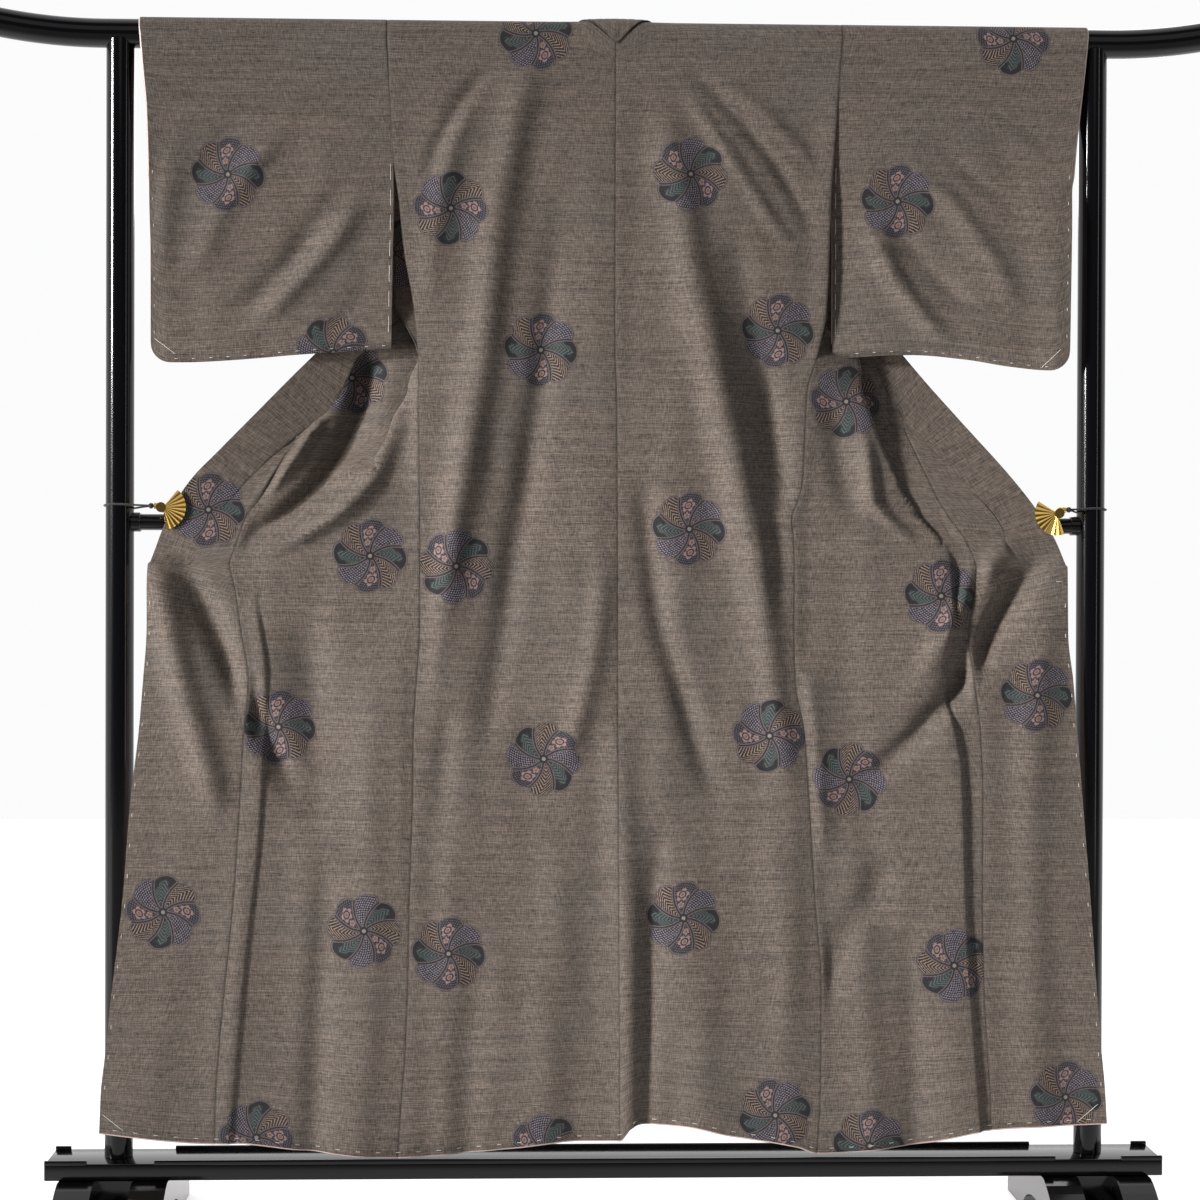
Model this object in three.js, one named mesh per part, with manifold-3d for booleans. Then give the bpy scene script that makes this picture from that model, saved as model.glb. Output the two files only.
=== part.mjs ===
// A lined kimono, back outward, hung through its sleeves on a lacquered kimono stand.
// Millimetres, +Z up. The back of the garment faces -Y. The origin is on the floor under the middle.
import * as THREE from 'three';
import { mergeVertices } from 'three/addons/utils/BufferGeometryUtils.js';
import Module from 'manifold-3d';

const wasm = await Module();
wasm.setup();

// ---- driving dimensions: the stand ----
const BAR_Z = 1658;              // axis of the top bar
const BAR_RADIUS = 20;
const BAR_HALF = 905;            // half the bar's length
const BAR_STRAIGHT_HALF = 700;   // the ends sweep up outside this
const BAR_END_RISE = 27;
const BAR_ROUNDING = 4;           // the tips are this much thinner
const BAR_SIDES = 28;
const POST_X = 679;
const POST_RADIUS = 19.5;
const RAIL_Z = 981;
const RAIL_RADIUS = 11.2;
const RAIL_COLLAR_RADIUS = 13.5;
const RAIL_COLLAR_LENGTH = 10;
const BEAM_HALF = 774;
const BEAM_DEPTH = 97;
const BEAM_BOTTOM = 75.3;
const BEAM_TOP = 98.5;
const LIP_TOP = 103;
const LIP_WIDTH = 5;
const FRONT_NOTCH = [-716, -624];   // where the front lip is let out, and its mirror
const BACK_NOTCH = [-752, -606];
const FOOT_TOP = 75;
const FOOT_HALF_LENGTH = 190;    // front to back
const FOOT_WIDTH = 150;
const FIT_GAP = 0.3;

// ---- driving dimensions: the garment ----
const WALL = 2;                  // lined cloth
const COLLAR_WALL = 3;           // the collar is folded double
const DRAPE_RADIUS = BAR_RADIUS + 0.8 + WALL / 2;
const SEAM_GAP = 0.3;
const HEM_Z = 120;               // the tables' lowest row, mapped to the hem line
const HEM_BLEND_Z = 300;         // below this height the rows lean into the hem line
const GARMENT_X = -4;            // the garment hangs this far off the stand's middle
const SHOULDER_RUN = 66.6;       // cloth from the top of the bar to the row below it

// ---- small helpers ----
function table(columns, rows) {
  const names = columns.split(' ');
  return rows.map((row) => Object.fromEntries(names.map((name, i) => [name, row[i]])));
}

// Reads a column of a table at a height or place, straight between its rows.
function read(rows, by, key, at) {
  const rising = rows[0][by] < rows[rows.length - 1][by];
  const list = rising ? rows : [...rows].reverse();
  if (at <= list[0][by]) return list[0][key];
  for (let i = 1; i < list.length; i++) {
    if (at <= list[i][by]) {
      const t = (at - list[i - 1][by]) / (list[i][by] - list[i - 1][by]);
      return list[i - 1][key] + t * (list[i][key] - list[i - 1][key]);
    }
  }
  return list[list.length - 1][key];
}

const lerp = (a, b, t) => a + (b - a) * t;
const smooth = (t) => {
  const c = Math.min(1, Math.max(0, t));
  return c * c * (3 - 2 * c);
};
const spread = (n) => Array.from({ length: n + 1 }, (_, i) => i / n);

// A closed wall around a grid of middle points, rows by columns.
function sheetSolid(grid, wall) {
  const rows = grid.length;
  const cols = grid[0].length;
  const positions = [];
  const across = new THREE.Vector3();
  const down = new THREE.Vector3();
  for (const side of [1, -1]) {
    for (let i = 0; i < rows; i++) {
      for (let j = 0; j < cols; j++) {
        across.subVectors(grid[i][Math.min(j + 1, cols - 1)], grid[i][Math.max(j - 1, 0)]);
        down.subVectors(grid[Math.min(i + 1, rows - 1)][j], grid[Math.max(i - 1, 0)][j]);
        const normal = across.cross(down).normalize().multiplyScalar(side * wall / 2);
        positions.push(...grid[i][j].clone().add(normal).toArray());
      }
    }
  }
  const half = rows * cols;
  const index = [];
  const quad = (a, b, c, d) => index.push(a, b, c, a, c, d);
  for (let i = 0; i < rows - 1; i++) {
    for (let j = 0; j < cols - 1; j++) {
      const a = i * cols + j;
      quad(a, a + cols, a + cols + 1, a + 1);
      quad(half + a, half + a + 1, half + a + cols + 1, half + a + cols);
    }
  }
  for (let j = 0; j < cols - 1; j++) {
    quad(j, j + 1, half + j + 1, half + j);
    const k = (rows - 1) * cols + j;
    quad(k, half + k, half + k + 1, k + 1);
  }
  for (let i = 0; i < rows - 1; i++) {
    const a = i * cols;
    quad(a, half + a, half + a + cols, a + cols);
    const b = a + cols - 1;
    quad(b, b + cols, half + b + cols, half + b);
  }
  return closed(positions, index);
}

// Makes the geometry and turns it outward where its volume comes out negative.
function closed(positions, index) {
  let volume = 0;
  const p = (i) => new THREE.Vector3(positions[3 * i], positions[3 * i + 1], positions[3 * i + 2]);
  for (let i = 0; i < index.length; i += 3) {
    volume += p(index[i]).dot(p(index[i + 1]).cross(p(index[i + 2])));
  }
  const order = volume < 0 ? index.slice().reverse() : index;
  const geometry = new THREE.BufferGeometry();
  geometry.setAttribute('position', new THREE.Float32BufferAttribute(positions, 3));
  geometry.setIndex(order);
  return geometry;
}

// A closed tube of rings, each ring a list of points; the ends are capped, or the rings close on themselves.
function ringSolid(rings, loop = false) {
  const n = rings[0].length;
  const positions = rings.flat().flatMap((v) => v.toArray());
  const index = [];
  const last = loop ? rings.length : rings.length - 1;
  for (let i = 0; i < last; i++) {
    const next = (i + 1) % rings.length;
    for (let j = 0; j < n; j++) {
      const k = (j + 1) % n;
      index.push(i * n + j, i * n + k, next * n + k, i * n + j, next * n + k, next * n + j);
    }
  }
  if (!loop) {
    for (const [ring, flip] of [[0, true], [rings.length - 1, false]]) {
      const contour = rings[ring];
      const flat = flatten(contour);
      for (const [a, b, c] of THREE.ShapeUtils.triangulateShape(flat, [])) {
        const o = ring * n;
        index.push(...(flip ? [o + a, o + c, o + b] : [o + a, o + b, o + c]));
      }
    }
  }
  return closed(positions, index);
}

// The contour seen along its own normal, as 2-D points.
function flatten(contour) {
  const normal = new THREE.Vector3();
  contour.forEach((v, i) => normal.add(v.clone().cross(contour[(i + 1) % contour.length])));
  normal.normalize();
  const u = contour[1].clone().sub(contour[0]).normalize();
  const w = normal.clone().cross(u);
  return contour.map((v) => new THREE.Vector2(v.dot(u), v.dot(w)));
}

function solid(geometry) {
  const bare = geometry.clone();
  for (const name of Object.keys(bare.attributes)) {
    if (name !== 'position') bare.deleteAttribute(name);
  }
  const merged = mergeVertices(bare, 1e-4);
  return new wasm.Manifold(new wasm.Mesh({
    numProp: 3,
    vertProperties: new Float32Array(merged.attributes.position.array),
    triVerts: new Uint32Array(merged.index.array),
  }));
}

function geometryOf(manifold) {
  const mesh = manifold.getMesh();
  const geometry = new THREE.BufferGeometry();
  geometry.setAttribute('position', new THREE.Float32BufferAttribute(mesh.vertProperties, 3));
  geometry.setIndex(Array.from(mesh.triVerts));
  return geometry;
}

const join = (...parts) => geometryOf(parts.map(solid).reduce((a, b) => a.add(b)));

function rod(radius, from, to, sides = 24) {
  const a = new THREE.Vector3(...from);
  const b = new THREE.Vector3(...to);
  const geometry = new THREE.CylinderGeometry(radius, radius, a.distanceTo(b), sides);
  const turn = new THREE.Quaternion().setFromUnitVectors(
    new THREE.Vector3(0, 1, 0), b.clone().sub(a).normalize());
  geometry.applyQuaternion(turn);
  const middle = a.clone().add(b).multiplyScalar(0.5);
  return geometry.translate(middle.x, middle.y, middle.z);
}

function block(x0, x1, y0, y1, z0, z1) {
  const geometry = new THREE.BoxGeometry(x1 - x0, y1 - y0, z1 - z0);
  return geometry.translate((x0 + x1) / 2, (y0 + y1) / 2, (z0 + z1) / 2);
}

// ---- materials ----
const material = (color, roughness, metalness = 0) =>
  new THREE.MeshStandardMaterial({ color, roughness, metalness });
const CLOTH = material(0x6f645a, 0.85);
const LACQUER = material(0x08080a, 0.12);
const GOLD = material(0xc79a3a, 0.25, 1);
const ELASTIC = material(0x0c0c0c, 0.7);

function node(name, geometry, finish) {
  const mesh = new THREE.Mesh(geometry, finish);
  mesh.name = name;
  return mesh;
}

// ---- folds: soft ridges (+rise, toward -Y), troughs (-rise) and pleat steps ----
// Each line runs down the cloth through its points, given as x, z pairs.
const fold = (name, rise, width, line, kind = 'ridge') => ({ name, rise, width, line, kind });
const BACK_FOLDS = [
  fold('left_trough', -7, 24, [
    [-131, 1640], [-106, 1458], [-133, 1317], [-165, 1133], [-226, 886], [-247, 800]]),
  fold('left_ridge', 6, 30, [[-190, 1600], [-168, 1420], [-196, 1250], [-222, 1090]]),
  fold('right_shoulder', 5, 24, [[114, 1640], [157, 1602], [247, 1510], [300, 1455]]),
  fold('right_ridge', 9, 26, [[86, 1430], [121, 1318], [153, 1116], [199, 903], [221, 790]]),
  fold('right_trough', -7, 20, [[125, 1420], [160, 1318], [192, 1116], [236, 903], [250, 800]]),
  fold('drape_left', 5, 16, [[17, 900], [-38, 797], [-70, 700]]),
  fold('drape_right', 5, 16, [[17, 900], [72, 797], [90, 690]]),
  fold('hem_trough', -11, 20, [[56, 420], [53, 255], [51, 110]]),
  fold('hem_ridge', 6, 40, [[-60, 520], [-75, 300], [-85, 110]]),
  fold('hem_ridge_right', 7, 40, [[120, 520], [128, 300], [135, 110]]),
];
const LEFT_FOLDS = [
  fold('gather_facet', 9, 18, [[-275, 1195], [-307, 1094], [-347, 1050], [-390, 1015]]),
  fold('gather_trough', -13, 16, [[-329, 1205], [-347, 1120], [-381, 1041], [-425, 1005]]),
  fold('gather_ridge', 11, 12, [[-375, 1160], [-394, 1112], [-413, 1076], [-435, 1030]]),
  fold('clip_trough', -9, 18, [[-605, 985], [-594, 873], [-566, 735], [-545, 600]]),
  fold('pleat', 6, 5, [
    [-435, 1050], [-465, 951], [-488, 914], [-467, 768], [-475, 597], [-500, 333], [-519, 110]], 'step'),
  fold('side_ridge', 5, 30, [[-300, 960], [-310, 700], [-330, 400], [-340, 110]]),
];
const RIGHT_FOLDS = [
  fold('gather_ridge', 11, 13, [[352, 1190], [360, 1105], [367, 1026], [400, 985]]),
  fold('gather_trough', -12, 16, [[318, 1190], [322, 1105], [325, 1026], [345, 960]]),
  fold('clip_trough', -9, 20, [[618, 965], [560, 890], [505, 830]]),
  fold('pleat', 6, 5, [
    [384, 1102], [437, 997], [487, 917], [476, 817], [499, 662], [506, 452], [529, 110]], 'step'),
  fold('front_ridge', 5, 26, [[600, 800], [612, 500], [625, 110]]),
  fold('side_ridge', 5, 30, [[330, 960], [345, 700], [365, 400], [380, 110]]),
];
const LEFT_SLEEVE_FOLDS = [
  fold('sleeve_trough', -4, 26, [[-346, 1500], [-436, 1352], [-541, 1250]]),
];
const RIGHT_SLEEVE_FOLDS = [
  fold('sleeve_ridge', 4, 26, [[349, 1500], [415, 1370], [484, 1240]]),
];
const FOLD_FADE = 70;            // length over which a fold dies away at its ends
const PLEAT_REACH = 60;          // how far a pleat's step takes to sink back

// How far the folds lift the cloth toward -Y at x, z; centreSide is the way to the back seam.
function lift(folds, x, z, centreSide = 1) {
  let sum = 0;
  for (const f of folds) {
    const top = f.line[0][1];
    const end = f.line[f.line.length - 1][1];
    if (z > top || z < end) continue;
    const line = f.line.map(([lx, lz]) => ({ lx, lz }));
    const off = (x - read(line, 'lz', 'lx', z)) / f.width;
    const fadeEnd = end < HEM_Z ? 1 : smooth((z - end) / FOLD_FADE);
    const fade = smooth((top - z) / FOLD_FADE) * fadeEnd;
    if (f.kind === 'step') {
      const inward = off * centreSide;
      const beyond = Math.max(0, inward - 1) * f.width / PLEAT_REACH;
      sum += f.rise * fade * smooth((inward + 1) / 2) * Math.exp(-beyond * beyond);
    } else {
      sum += f.rise * fade * Math.exp(-off * off);
    }
  }
  return sum;
}

// ---- the hem line and the seams ----
const HEM = table('x z', [
  [-698, 137], [-539, 122], [-519, 122], [-420, 112], [-286, 102], [-131, 114], [-46, 123], [22, 124],
  [36, 140], [50, 146], [114, 143], [175, 130], [270, 114], [297, 105], [431, 116], [535, 136], [704, 145],
]);
const CENTRE = table('z x', [[1647, 11], [1246, 11], [1152, 14], [726, 17], [596, 18], [HEM_Z, 22]]);

function hung(x, z) {
  if (z >= HEM_BLEND_Z) return z;
  const reach = HEM_BLEND_Z - read(HEM, 'x', 'z', x);
  return HEM_BLEND_Z - (HEM_BLEND_Z - z) * reach / (HEM_BLEND_Z - HEM_Z);
}

// A point at a distance along the cloth over the bar: negative on the -Y side, zero on top.
function overBar(x, run, radius = DRAPE_RADIUS) {
  const angle = run / DRAPE_RADIUS;
  const side = Math.sign(run);
  if (Math.abs(angle) <= Math.PI / 2) {
    return new THREE.Vector3(x, radius * Math.sin(angle), BAR_Z + radius * Math.cos(angle));
  }
  const below = Math.abs(run) - DRAPE_RADIUS * Math.PI / 2;
  return new THREE.Vector3(x, side * radius, BAR_Z - below);
}

// Section rows of each half. side: the panel's outer edge; turn: where the front turns back on
// itself; seam: the front's edge at the collar or okumi. The y columns are their depths.
const COLUMNS = 'z side backY sideY turn turnY seam seamY';
const LEFT = table(COLUMNS, [
  [1600, -303.5, -21.8, 21.8, -58, 22, -58, 21.8],
  [1540, -299.9, -21.8, 21.8, -62, 22, -62, 22],
  [1491, -297, -21.8, 21.8, -72, 23, -73, 23],
  [1430, -289, -23, 21, -88, 24, -133, 28.5],
  [1356, -281, -22, 19, -119, 22, -203, 28.5],
  [1281, -268, -20, 10, -148, 18, -274, 28.5],
  [1211, -262, -15, -12, -179, 8, -350, 27],
  [1170, -261, -20, -17, -206, -2, -367, 20],
  [1138, -261, -23, -20, -228, -8, -385, 11],
  [1104, -260, -25.5, -22, -243, -16, -427, 1],
  [1078, -259.5, -26, -22.5, -259.5, -22, -444, -7],
  [1040, -259, -26.5, -26.5, -259, -26, -464, -16],
  [1012, -258, -27, -27, -258, -26, -480, -21],
  [990, -258, -27, -27, -258, -26, -497, -23.5],
  [957, -258, -27, -27, -258, -26, -509, -26],
  [922, -258, -27, -27, -258, -26, -520, -26.5],
  [890, -258, -27, -27, -258, -26, -513, -27],
  [830, -258, -27, -27, -258, -26, -504, -27],
  [763, -262, -27, -27, -262, -26, -494, -27],
  [691, -266, -27, -27, -266, -26, -500, -27],
  [597, -267, -27, -27, -267, -26, -505, -27],
  [456, -271, -27, -27, -271, -26, -514, -27],
  [333, -273, -27, -27, -273, -26, -526, -27],
  [240, -277, -27, -27, -277, -26, -534, -27],
  [180, -282, -27, -27, -282, -26, -538, -27],
  [HEM_Z, -286, -27, -27, -286, -26, -539, -27],
]);
const RIGHT = table(COLUMNS, [
  [1600, 322.8, -21.8, 21.8, 80, 22, 80, 21.8],
  [1540, 318.5, -21.8, 21.8, 84, 22, 84, 22],
  [1491, 315, -21.8, 21.8, 94, 23, 95, 23],
  [1430, 311, -23, 21, 119, 24, 171, 28.5],
  [1356, 309, -22, 19, 149, 22, 234, 28.5],
  [1281, 306, -20, 12, 180, 18, 300, 28.5],
  [1211, 292, -18, -2, 213, 10, 377, 27],
  [1170, 280, -18, -15, 226, 2, 397, 20],
  [1138, 278, -22, -19, 242, -6, 412, 11],
  [1104, 276, -25.5, -22, 258, -16, 425, 1],
  [1078, 275, -26, -22.5, 275, -22, 436, -7],
  [1040, 273, -26.5, -26.5, 273, -26, 453, -16],
  [1012, 266, -27, -27, 266, -26, 467, -21],
  [990, 258, -27, -27, 258, -26, 481, -23.5],
  [957, 261, -27, -27, 261, -26, 504, -26],
  [922, 262, -27, -27, 262, -26, 517, -26.5],
  [890, 262, -27, -27, 262, -26, 515, -27],
  [830, 262, -27, -27, 262, -26, 506, -27],
  [763, 264, -27, -27, 264, -26, 515, -27],
  [691, 277, -27, -27, 277, -26, 524, -27],
  [597, 284, -27, -27, 284, -26, 528, -27],
  [456, 293, -27, -27, 293, -26, 528, -27],
  [333, 302, -27, -27, 302, -26, 531, -27],
  [240, 302, -27, -27, 302, -26, 536, -27],
  [180, 301, -27, -27, 301, -26, 540, -27],
  [HEM_Z, 297, -27, -27, 297, -26, 542, -27],
]);
const GATHER_TOP = 1230;         // the front's folds show below this
const SHOULDER_STEPS = [0, 0.1, 0.2, 0.3, 0.4, 0.51, 0.75, 1];
const BACK_STATIONS = [0, 0.05, 0.1, 0.16, 0.28, 0.42, 0.56, 0.7, 0.85, 1];
const FRONT_COLUMNS = { under: 3, turn: 2, over: 7 };
const TURN_RADIUS = 4;
const UNDERARM = table('z left right', [[1430, 11, 8], [1356, 20, 10], [1281, 26, 8]]);

// The neck opening: the back's top edge dips to a shallow V behind the neck.
const NECK = table('out run proud', [
  [0, -44.6, 1], [16, -31, 1.3], [32, -16, 1.3], [48, -SEAM_GAP, 0.6], [90, -SEAM_GAP, 0],
  [9999, -SEAM_GAP, 0],
]);
const NECK_EDGE = table('run out', [[0, 48], [13, 60], [25, 70], [SHOULDER_RUN, 71]]);
const CENTRE_X = 11;

// The armhole seam: sleeve, back and front meet on this line down to the end of the sleeve's joining.
const ARMHOLE_END_Z = 1491;
const ARMHOLE = table('z left right', [[BAR_Z, -307, 327], [ARMHOLE_END_Z, -297, 315]]);
const armhole = (way, z) => read(ARMHOLE, 'z', way < 0 ? 'left' : 'right', z);

function backPanel(rows, way) {
  const grid = [];
  for (const step of SHOULDER_STEPS) {
    const edgeZ = overBar(0, -SHOULDER_RUN * step).z;
    grid.push(BACK_STATIONS.map((t) => {
      const x = lerp(CENTRE_X + way * SEAM_GAP, armhole(way, edgeZ) - way * SEAM_GAP / 2, t);
      const start = read(NECK, 'out', 'run', Math.abs(x - CENTRE_X));
      const proud = read(NECK, 'out', 'proud', Math.abs(x - CENTRE_X)) * smooth(1.5 - 2 * step);
      return overBar(x, lerp(start, -SHOULDER_RUN, step), DRAPE_RADIUS + proud);
    }));
  }
  for (const row of rows) {
    const middle = read(CENTRE, 'z', 'x', row.z) + way * SEAM_GAP / 2;
    const edge = row.side - way * SEAM_GAP / 2;
    grid.push(BACK_STATIONS.map((t) => {
      const x = lerp(middle, edge, t);
      const base = lerp(-22 - 4 * smooth((1600 - row.z) / 300), row.backY, smooth(t * t));
      const edgeFade = smooth((1 - t) * 5) * 0.8 + 0.2;
      return new THREE.Vector3(x, base - lift(BACK_FOLDS, x, row.z) * edgeFade, hung(x, row.z));
    }));
  }
  return sheetSolid(grid, WALL);
}

// The front's side edge: on the armhole above, then behind the sleeve's inner edge across the open
// underarm, then just outside the back's edge where it tucks behind.
function frontEdgeOffset(row, way) {
  if (row.z >= ARMHOLE_END_Z) return -SEAM_GAP / 2;
  if (row.z > GATHER_TOP) return read(UNDERARM, 'z', way < 0 ? 'left' : 'right', row.z);
  return row.sideY > row.backY + 1 ? 1.5 : SEAM_GAP;
}

function frontRow(row, way, folds) {
  const { under, turn, over } = FRONT_COLUMNS;
  const edge = row.side + way * frontEdgeOffset(row, way);
  const seam = row.seam - way * SEAM_GAP;
  const folded = Math.abs(row.turn - row.side) > 2 && Math.abs(row.turn - row.seam) > 5;
  const points = [];
  const add = (x, y, weight) => {
    const show = row.z < GATHER_TOP ? weight : 0;
    points.push(new THREE.Vector3(x, y - show * lift(folds, x, row.z, -way), hung(x, row.z)));
  };
  if (!folded) {
    spread(under + turn + over).forEach((t) => {
      const weight = smooth(t * 6) * smooth((1 - t) * 10) * 0.9 + 0.1;
      add(lerp(edge, seam, t), lerp(row.sideY, row.seamY, t), weight);
    });
    return points;
  }
  for (const t of spread(under)) {
    add(lerp(edge, row.turn, t), lerp(row.sideY, row.turnY - TURN_RADIUS, t), 0);
  }
  for (let k = 1; k < turn; k++) {
    const angle = Math.PI * (k / turn - 0.5);
    add(row.turn - way * TURN_RADIUS * Math.cos(angle), row.turnY + TURN_RADIUS * Math.sin(angle), 0);
  }
  for (const t of spread(over)) {
    const weight = smooth(t * 3) * smooth((1 - t) * 6);
    add(lerp(row.turn, seam, t), lerp(row.turnY + TURN_RADIUS, row.seamY, t), weight);
  }
  return points;
}

function frontPanel(rows, way, folds) {
  const count = FRONT_COLUMNS.under + FRONT_COLUMNS.turn + FRONT_COLUMNS.over;
  const grid = [];
  for (const step of SHOULDER_STEPS) {
    const run = lerp(SEAM_GAP, SHOULDER_RUN, step);
    const neck = CENTRE_X + way * read(NECK_EDGE, 'run', 'out', run);
    const edge = armhole(way, overBar(0, run).z) - way * SEAM_GAP / 2;
    grid.push(spread(count).map((t) => overBar(lerp(edge, neck, t), run)));
  }
  for (const row of rows) grid.push(frontRow(row, way, folds));
  return sheetSolid(grid, WALL);
}

// ---- okumi: the overlap panel between the front and the front edge ----
const OKUMI_COLUMNS = 4;
const LEFT_OKUMI = table('x z seamZ', [
  [-436, 1097, 1100], [-456, 1079, 1078], [-495, 1040, 1040], [-519, 1012, 1012], [-540, 986, 990],
  [-555, 950, 957], [-573, 922, 938], [-603, 921, 922], [-630, 908, 890], [-634, 830, 830],
  [-639, 763, 763], [-645, 691, 691], [-656, 597, 597], [-667, 456, 456], [-681, 333, 333],
  [-690, 240, 240], [-696, 180, 180], [-698, HEM_Z, HEM_Z],
]);
const RIGHT_OKUMI = table('x z seamZ', [
  [422, 1127, 1130], [445, 1099, 1104], [466, 1076, 1078], [498, 1036, 1040], [521, 1008, 1012],
  [543, 980, 990], [562, 952, 957], [585, 922, 938], [617, 921, 922], [644, 908, 890],
  [646, 830, 830], [654, 763, 763], [660, 691, 691], [668, 597, 597], [680, 456, 456],
  [689, 333, 333], [696, 240, 240], [701, 180, 180], [704, HEM_Z, HEM_Z],
]);

function okumiPanel(rows, outer, way, folds) {
  const grid = outer.map((row, i) => {
    const seam = read(rows, 'z', 'seam', row.seamZ) + way * SEAM_GAP;
    const seamY = read(rows, 'z', 'seamY', row.seamZ);
    const outerY = read(rows, 'z', 'seamY', row.z);
    const edge = row.x - way * (row.z > 915 ? 2 * SEAM_GAP : 0);
    return spread(OKUMI_COLUMNS).map((t) => {
      const x = lerp(edge, seam, t);
      const z = lerp(row.z - (row.z > 915 && i > 5 ? 2 * SEAM_GAP : 0), row.seamZ, t);
      const weight = smooth((1 - t) * 5) * (z > 950 ? smooth(t * 5) : 1);
      const y = lerp(outerY, seamY, t) - weight * lift(folds, x, z, -way);
      return new THREE.Vector3(x, y, hung(x, z));
    });
  });
  return sheetSolid(grid, WALL);
}

// ---- collar: a folded band round the neck and down both front edges ----
// Rows from the middle of the back down to the collar's end: the seam edge and the outer edge.
const COLLAR_COLUMNS = 4;
const COLLAR_ROWS = 'seamX seamY seamZ outX outY outZ';
const LEFT_COLLAR = table(COLLAR_ROWS, [
  [-58, 28, 1650, -105, 31, 1664],
  [-60, 28, 1600, -112, 31, 1616],
  [-64, 29, 1540, -116, 31, 1562],
  [-77, 29, 1491, -128, 31, 1518],
  [-133, 29, 1430, -176, 31, 1467],
  [-203, 29, 1356, -245, 31, 1392],
  [-274, 29, 1281, -322, 31, 1310],
  [-350, 28, 1211, -396, 29, 1229],
  [-385, 12, 1138, -437, 24, 1186],
  [-427, 1, 1104, -476, 12, 1144],
  [-456, -7, 1079, -508, 1, 1110],
  [-495, -16, 1040, -542, -9, 1074],
  [-519, -21, 1012, -568, -15, 1047],
  [-540, -23.5, 986, -588, -20, 1020],
  [-555, -25.5, 950, -611, -25, 975],
  [-573, -26.5, 922, -630, -26.5, 922],
]);
const RIGHT_COLLAR = table(COLLAR_ROWS, [
  [80, 28, 1650, 127, 31, 1664],
  [82, 28, 1600, 134, 31, 1616],
  [86, 29, 1540, 138, 31, 1562],
  [99, 29, 1491, 148, 31, 1520],
  [171, 29, 1430, 214, 31, 1466],
  [234, 29, 1356, 276, 31, 1392],
  [300, 29, 1281, 345, 31, 1311],
  [377, 28, 1211, 413, 29, 1231],
  [412, 12, 1138, 452, 24, 1184],
  [445, -1, 1099, 491, 12, 1138],
  [466, -7, 1076, 519, 1, 1105],
  [498, -16, 1036, 551, -9, 1068],
  [521, -21, 1008, 575, -15, 1039],
  [543, -23.5, 980, 602, -20, 1003],
  [562, -25.5, 952, 628, -25, 960],
  [585, -26.5, 922, 644, -26.5, 922],
]);
const NECK_ROWS = table('out seamRun outerOut outRun', [
  [0, -44, 0, 12], [12, -33.5, 13, 15], [24, -22, 28, 20], [36, -10, 45, 25],
  [46, 1, 62, 29], [55, 12, 80, 30], [63, 24, 100, 30],
]);
const NECK_SEAM_RADIUS = DRAPE_RADIUS + 2.6;
const NECK_OUTER_RADIUS = DRAPE_RADIUS + 5;
const OVER_COLLAR_ROWS = 8;      // rows of each half that the over-collar covers

function collarRow(row, way) {
  const seam = new THREE.Vector3(row.seamX + way * 2 * SEAM_GAP, row.seamY, row.seamZ + SEAM_GAP);
  const outer = new THREE.Vector3(row.outX, row.outY, row.outZ);
  return spread(COLLAR_COLUMNS).map((t) => seam.clone().lerp(outer, t));
}

function neckRow(row, way) {
  return spread(COLLAR_COLUMNS).map((t) => {
    const radius = lerp(NECK_SEAM_RADIUS, NECK_OUTER_RADIUS, Math.sqrt(t));
    return overBar(CENTRE_X + way * lerp(row.out, row.outerOut, t), lerp(row.seamRun, row.outRun, t), radius);
  });
}

function lowerCollar(rows, way) {
  const grid = rows.slice(OVER_COLLAR_ROWS - 1).map((row) => collarRow(row, way));
  grid[0] = grid[0].map((v, j) => v.clone().lerp(grid[1][j], 0.02));
  return sheetSolid(grid, COLLAR_WALL);
}

function overCollar() {
  const left = LEFT_COLLAR.slice(0, OVER_COLLAR_ROWS).map((row) => collarRow(row, -1)).reverse();
  const right = RIGHT_COLLAR.slice(0, OVER_COLLAR_ROWS).map((row) => collarRow(row, 1));
  const neck = [
    ...NECK_ROWS.slice(1).reverse().map((row) => neckRow(row, -1)),
    ...NECK_ROWS.map((row) => neckRow(row, 1)),
  ];
  return sheetSolid([...left, ...neck, ...right], COLLAR_WALL);
}

// ---- sleeves: a bag over the bar, open at the cuff above and along its inner edge ----
const SLEEVE_SECTIONS = [0, 0.025, 0.06, 0.1, 0.3, 0.5, 0.7, 0.88, 1];
const CUFF_OPENING_END = 1448;
const CORNER_RADIUS = 27;
const LEFT_SLEEVE = {
  way: -1,
  edge: table('z cuff inner', [
    [1680, -647, -307], [BAR_Z, -645, -307], [1598, -640, -303.4], [1562, -637, -301.25],
    [ARMHOLE_END_Z, -635.5, -297], [1430, -635, -296.5], [1351, -633, -298], [1200, -633, -300],
  ]),
  bottom: table('x z', [[-633, 1203], [-600, 1203], [-409, 1216], [-293, 1224]]),
  folds: LEFT_SLEEVE_FOLDS,
};
const RIGHT_SLEEVE = {
  way: 1,
  edge: table('z cuff inner', [
    [1680, 672, 327], [BAR_Z, 670, 327], [1616, 666, 324], [1563, 660, 320.2],
    [ARMHOLE_END_Z, 652, 315], [1440, 648, 315], [1356, 647, 316], [1200, 645, 316],
  ]),
  bottom: table('x z', [[316, 1214], [427, 1219], [499, 1213], [567, 1202], [622, 1197], [646, 1197]]),
  folds: RIGHT_SLEEVE_FOLDS,
};

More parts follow.
